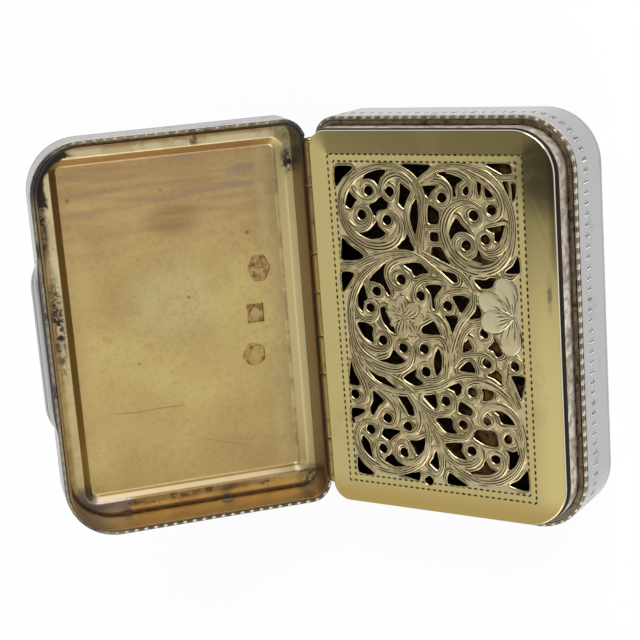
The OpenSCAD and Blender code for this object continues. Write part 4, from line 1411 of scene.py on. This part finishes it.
# Paler on the hinge-side slope: painted highlight where it faces the lamp.
colour = mix(hinge_slope_light * ramp(lid_y, -15.8, -14.6), colour, lid_painted_light_straw)
field_line = ramp(abs(lid_x - field_back), 0.22, 0.08) * ramp(past_end, 0.1, -0.1)
colour = mix(field_line * ramp(mottle, 0.4, 0.6, 0.2, 0.7), colour, lid_brown)
violet = stain(lid, (8.8, -16.0, 9.2), 3.6, 1.0) + rough_edge * 1.6
violet = ramp(violet, 0.2, 0.6, 0.0, 0.72) * ramp(ragged, 2.3, 2.7)
colour = mix(violet, colour, lid_violet)
colour = mix(ramp(to_wall, 3.6, 3.85, 0.0, 0.9), colour, ledge_dark)

# Soot in the corners and along the border
crust = stains(
    lid, ((-11.0, 13.4, ledge_z), 0.9, 1.0, 2.0), ((-10.8, 16.2, ledge_z), 1.4, 0.5),
    ((-10.8, -16.3, ledge_z), 1.5, 0.9), ((10.6, 1.2, ledge_z), 0.85, 1.0, 8.0),
    ((-2.8, -16.9, 9.0), 0.9, 0.9), ((6.6, -16.9, 8.6), 0.9, 0.6),
    ((-6.5, -16.0, ledge_z), 0.7, 0.9, 0.6), ((11.2, 10.0, ledge_z), 0.9, 1.0, 5.0))
drawn_out = noise_at(vector(lid, "MULTIPLY", (3.2, 0.45, 1.0)), 1.0, 4.0)
crust = crust * strongest(soot_grains(place), ramp(drawn_out, 0.5, 0.62, 0.0, 0.9))
corner = stain(lid, (10.5, 14.5, ledge_z), 3.3, 1.0) + rough_edge * 0.9
corner = ramp(corner, 0.06, 0.2, 0.0, 0.97) * ramp(ragged, 2.95, 3.15)
crust = strongest(crust, corner) * ramp(lid_z, 9.9, 9.55)
colour = mix(crust, colour, soot)

# Pits, scratches and specks of the field
pits = stains(
    lid, ((8.57, 11.94, field_z), 0.3, 0.85), ((-7.02, 7.31, field_z), 0.3, 0.85),
    ((0.41, 11.97, field_z), 0.16, 0.85), ((-1.2, 2.1, field_z), 0.22, 0.85),
    ((3.8, -3.4, field_z), 0.18, 0.85))
scratches = [scratch(lid, *line) for line in (
    ((6.7, -7.7, field_z), (-0.4, -7.87, field_z), 0.07, 0.7),
    ((-1.0, -11.0, field_z), (-5.6, -12.7, field_z), 0.07, 0.4),
    ((-2.2, -11.2, field_z), (-6.2, -12.2, field_z), 0.06, 0.35),
    ((5.6, -10.6, field_z), (4.6, -12.6, field_z), 0.06, 0.3))]
specks = patches(place, 1500.0, 0.1) * 0.6
colour = mix(strongest(pits, *scratches, specks), colour, lid_brown)
rubbed(shader, place, 1500.0, 1.57, 0.12, 0.00003)
# The hinge-side slope is made less metallic, which helps its painted highlight.
metallic_less_on_lit_slope = 1.0 - hinge_slope_light * 0.55
wire(shader, {"Base Color": colour, "Metallic": metallic_less_on_lit_slope.math("SUBTRACT", crust, clamp=True),
              "Specular IOR Level": 0.2, "Roughness": between(soft_cloud, 0.33, 0.39) + crust * 0.4})


def field_outline(margin):
    """The sunk field drawn out by a margin."""
    return outline(field_back - margin, field_front + margin, field_half + margin,
                   field_r + margin, field_r + margin)


def sunk_field(z, shrink):
    """Rings of the field from its middle out, gently uneven as hand-flattened sheet is."""
    middle = (field_back + field_front) / 2
    sections = []
    for step in range(1, field_steps):
        share = step / field_steps
        ring = []
        for x, y in field_outline(shrink):
            spot = (middle + (x - middle) * share, y * share)
            lift = noise.noise(Vector((spot[0] * 0.16, spot[1] * 0.16, 3.0)))
            lift *= field_wave * (1 - share ** 6)
            ring.append((*spot, z + lift))
        sections.append(ring)
    return sections


inner_slope = soften(((-0.4, field_z), (0.0, field_z), (field_slope, ledge_z), (1.3, ledge_z)), 0.14,
                     False)
outer_slope = soften(((1.3, border_z), (slope + panel_wall, border_z), (panel_wall, panel_z),
                      (-0.3, panel_z)), 0.2, False)
edge_run = ((0.5, ledge_z), (0.1, ledge_z), (0.02, ledge_z + 0.03), (0.0, ledge_z + 0.1),
            (0.0, border_z - 0.18), (0.03, border_z - 0.08), (0.1, border_z - 0.02),
            (0.22, border_z), (0.4, border_z))
plate_rings = sunk_field(field_z, -0.4)
plate_rings += rings(field_outline, inner_slope)
plate_rings += rings(box_outline, edge_run)
plate_rings += rings(field_outline, outer_slope)
plate_rings += reversed(sunk_field(panel_z - field_wave, -0.3))
lid_plate = make_piece("lid_plate_stamped", *loft(plate_rings, False), lid_silver, lid_gilt)
gild_inside(lid_plate, lambda spot, normal: normal.z < -0.05)

mark_depth = 0.24
mark_sides = 48
punch_low = field_z - 0.2
device_low = field_z + 0.05
punched_gilt = worn_finish("punched_gilt", lid_tan, lid_brown, 0.4, 1300.0, 0.6)


def prism(name, shape, z_low, z_high):
    """An upright prism on a flat shape of points."""
    sections = [[(x, y, z) for x, y in shape] for z in (z_low, z_high)]
    return make_piece(name, *loft(sections, False), punched_gilt)


def lobed(x, y, wide, long, lobes, share):
    """A round with shallow or deep lobes about a point."""
    shape = []
    for side in range(mark_sides):
        a = 2 * math.pi * side / mark_sides
        grow = 1 + share * math.cos(lobes * a)
        shape.append((x + wide / 2 * grow * math.cos(a), y + long / 2 * grow * math.sin(a)))
    return shape


marks = ((lobed(-7.8, 3.92, 2.0, 2.5, 6, 0.06), lobed(-7.8, 3.92, 1.25, 1.6, 6, 0.3)),
         ([(-7.925, -1.055), (-6.375, -1.055), (-6.375, 0.695), (-7.925, 0.695)],
          [(-7.15, -0.85), (-6.6, -0.18), (-7.15, 0.5), (-7.7, -0.18)]),
         (lobed(-6.72, -3.97, 2.1, 2.1, 5, 0.04), lobed(-6.72, -3.97, 1.3, 1.3, 3, 0.22)))
for border, device in marks:
    cut_away(lid_plate, prism("punch", border, punch_low, field_z + mark_depth))
    join(lid_plate, prism("device", device, device_low, field_z + mark_depth + 0.1))
fit_lid(lid_plate, "lid_plate")


# Lid beading: the same beaded wire let into the lid's edge, meeting the box's when closed.
# It is dull and sooty, with black crust in the corners and painted shade at the hinge corner of the +y
# end, and rubbed bright along the lower edge.
low_bead = (0.56, 0.51, 0.41)
low_gap = (0.13, 0.10, 0.068)


def sooty_finish(name, bright, dull, low_colour, rough):
    """Worn metal with soot at the lid's corners and painted shade at its hinge corner, in another
    colour along the lower edge.
    """
    material, shader, place = start_finish(name)
    lid = closed_lid(place)
    forward, width, _ = axes(lid)
    colour = mix(patches(place, 700.0, 0.5), bright, dull)
    low_edge = ramp(width, -14.5, -16.5) * ramp(forward, 8.5, 5.5)
    colour = mix(low_edge, colour, low_colour)
    # Soot at the front corners and spots along the front; the dark patch at the hinge corner of the +y
    # end is painted shade, and the patchy darkening along the +y end is partly soot, partly painted
    # shade.
    soot_and_shade = stains(
        lid, ((11.4, 15.2, 6.0), 3.4, 0.97, 1.3), ((11.8, 8.6, 6.0), 0.7, 0.95, 2.0),
        ((11.8, 3.0, 6.0), 0.6, 0.9), ((11.8, -3.6, 6.0), 0.6, 0.9, 2.0),
        ((11.0, -16.6, 6.0), 2.4, 0.7), ((-10.9, 16.2, 6.0), 2.8, 0.9))
    soot_and_shade = strongest(soot_and_shade, patches(place, 900.0, 0.45) * ramp(width, 15.5, 16.8, 0.0, 0.8))
    wire(shader, {"Base Color": mix(soot_and_shade, colour, soot), "Metallic": 1.0 - soot_and_shade,
                  "Specular IOR Level": 0.2, "Roughness": rough})
    return material


bead_dull = sooty_finish("bead_dull", (0.33, 0.285, 0.20), (0.19, 0.15, 0.095), low_bead, 0.5)
strip_dark = sooty_finish("strip_dark", (0.27, 0.22, 0.145), (0.12, 0.09, 0.055), low_gap, 0.55)
lid_bead = beading("lid_beading", lid_mouth + bead_w / 2, bead_dull, strip_dark)
fit_lid(lid_bead, "lid_bead")


# Lid hinge tubes: two turned tubes soldered into the channel at the back of the lid.
# They lie between the tubes of the box and those of the grille's straps, on the same pin.
lid_tube_l = 5.9
lid_tube_y = 8.5
for node, y in (("lid_tube_left", -lid_tube_y), ("lid_tube_right", lid_tube_y)):
    fit(tube(node + "_turned", lid_tube_l, y, hinge_silver), "lid", node)


# Thumb-piece: a reeded lip of silver wire soldered on the front of the lid, tapered at its ends.
# The reeds carry a painted highlight on top and painted shade in the grooves between them.
thumb_l = 15.0
thumb_x = 12.03
thumb_back = thumb_x - 0.02
thumb_out = 0.7
thumb_low = 6.12
thumb_high = 7.9
thumb_taper = 2.2
thumb_tip = 0.06
thumb_full = 0.7
thumb_edge = 0.03
thumb_steps = 60
reed_steps = 32
reeds = 3
reed_depth = 0.26
reed_painted_highlight = (0.66, 0.66, 0.65)
groove_painted_shade = (0.10, 0.09, 0.08)

thumb_rings = []
for step in range(thumb_steps + 1):
    y = thumb_l * (step / thumb_steps - 0.5)
    share = min(1.0, (thumb_l / 2 - abs(y)) / thumb_taper)
    out = thumb_out * (thumb_tip + (1 - thumb_tip) * math.sin(share * math.pi / 2))
    ring = [(thumb_back, y, thumb_high), (thumb_back, y, thumb_low)]
    for i in range(reed_steps + 1):
        t = i / reed_steps
        body = math.sin(math.pi * min(max(t, thumb_edge), 1 - thumb_edge)) ** thumb_full
        reed = 1 - reed_depth + reed_depth * abs(math.sin(math.pi * reeds * t))
        ring.append((thumb_x + out * body * reed, y, thumb_low + (thumb_high - thumb_low) * t))
    thumb_rings.append(ring)
thumb_silver, shader, place = start_finish("thumb_silver")
groove = add(place.tree, "ShaderNodeAttribute", attribute_name="groove")["Fac"]
# Painted highlight on the reed tops, painted shade in the grooves.
wire(shader, {"Base Color": mix(ramp(groove, 0.45, 0.9), reed_painted_highlight, groove_painted_shade), "Roughness": 0.22})
thumb_piece = make_piece("thumb_piece_reeded", *loft(thumb_rings, False), thumb_silver)
heights = [(vertex.co.z / MM - thumb_low) / (thumb_high - thumb_low)
           for vertex in thumb_piece.data.vertices]
mark(thumb_piece.data, "groove", [1 - abs(math.sin(math.pi * reeds * t)) for t in heights])
fit_lid(thumb_piece, "thumb_piece")


# Studio: a pale paper floor, a soft surround and two soft lamps, seen from the photograph's angle.
# The surround is dark overhead and to one side, which gives the metal its dark reflections.
floor_colour = (0.93, 0.93, 0.925)
floor_half = 3000.0
floor_white = 0.92
white = (1.0, 1.0, 1.0)
surround_bright = 0.72
surround_dark = 0.22
surround_deep = 0.08

floor_corners = [(x * floor_half, y * floor_half, 0.0) for x, y in ((-1, -1), (1, -1), (1, 1), (-1, 1))]
floor = show("floor", new_mesh("floor", floor_corners, (), [(0, 1, 2, 3)]))
floor_paper, paper, _ = start_finish("floor_paper")
wire(paper, {"Base Color": floor_colour, "Metallic": 0.0, "Roughness": 0.9, "Specular IOR Level": 0.2})
tree = floor_paper.node_tree
ray = add(tree, "ShaderNodeLightPath")
shown = strongest(ray["Is Camera Ray"], ray["Is Glossy Ray"], ray["Is Transmission Ray"])
glow = add(tree, "ShaderNodeEmission", {"Color": white, "Strength": 1.0})[0]
lit = add(tree, "ShaderNodeMixShader", {0: shown * floor_white, 1: Outputs(paper)[0], 2: glow})[0]
wire(tree.nodes["Material Output"], {"Surface": lit})
floor.data.materials.append(floor_paper)

world = bpy.data.worlds.new("surround")
world.use_nodes = True
bpy.context.scene.world = world
tree = world.node_tree
x, y, z = axes(add(tree, "ShaderNodeTexCoord")["Generated"])
ceiling = ramp(y + x * 0.6, -0.43, -0.32) * ramp(z, 0.45, 0.8) * ramp(x, 0.35, 0.05)
dark = ramp(x, -0.42, -0.3, surround_bright - surround_dark, surround_bright - surround_deep)
level = surround_bright - ceiling * dark
level = strongest(level, add(tree, "ShaderNodeLightPath")["Is Camera Ray"])
wire(tree.nodes["Background"], {"Color": white, "Strength": level})


def soft_lamp(name, place, size, power):
    """A square soft box aimed at the object."""
    light = bpy.data.lights.new(name, "AREA")
    light.shape = "SQUARE"
    light.size = size
    light.energy = power
    lamp = show(name, light)
    lamp.location = place
    lamp.rotation_euler = (-Vector(place)).to_track_quat("-Z", "Y").to_euler()
    lamp.visible_camera = False


soft_lamp("key_lamp", (0.12, -0.5, 0.34), 0.5, 1.4)
soft_lamp("back_lamp", (0.22, 0.52, 0.26), 0.5, 4.0)

camera_place = Vector((59.371, 32.703, 120.926)) * MM
camera_right = Vector((0.85471, -0.07428, -0.51377))
camera_up = Vector((-0.06121, 0.96838, -0.24184))
camera_back = camera_right.cross(camera_up)
optics = bpy.data.cameras.new("camera")
optics.lens = 88.418
optics.sensor_width = 36.0
optics.sensor_fit = "HORIZONTAL"
optics.clip_start = 0.005
camera = show("camera", optics)
camera.matrix_world = Matrix.Translation(camera_place) @ Matrix(
    (camera_right, camera_up, camera_back)).transposed().to_4x4()
bpy.context.scene.camera = camera
bpy.context.scene.view_settings.view_transform = "Standard"
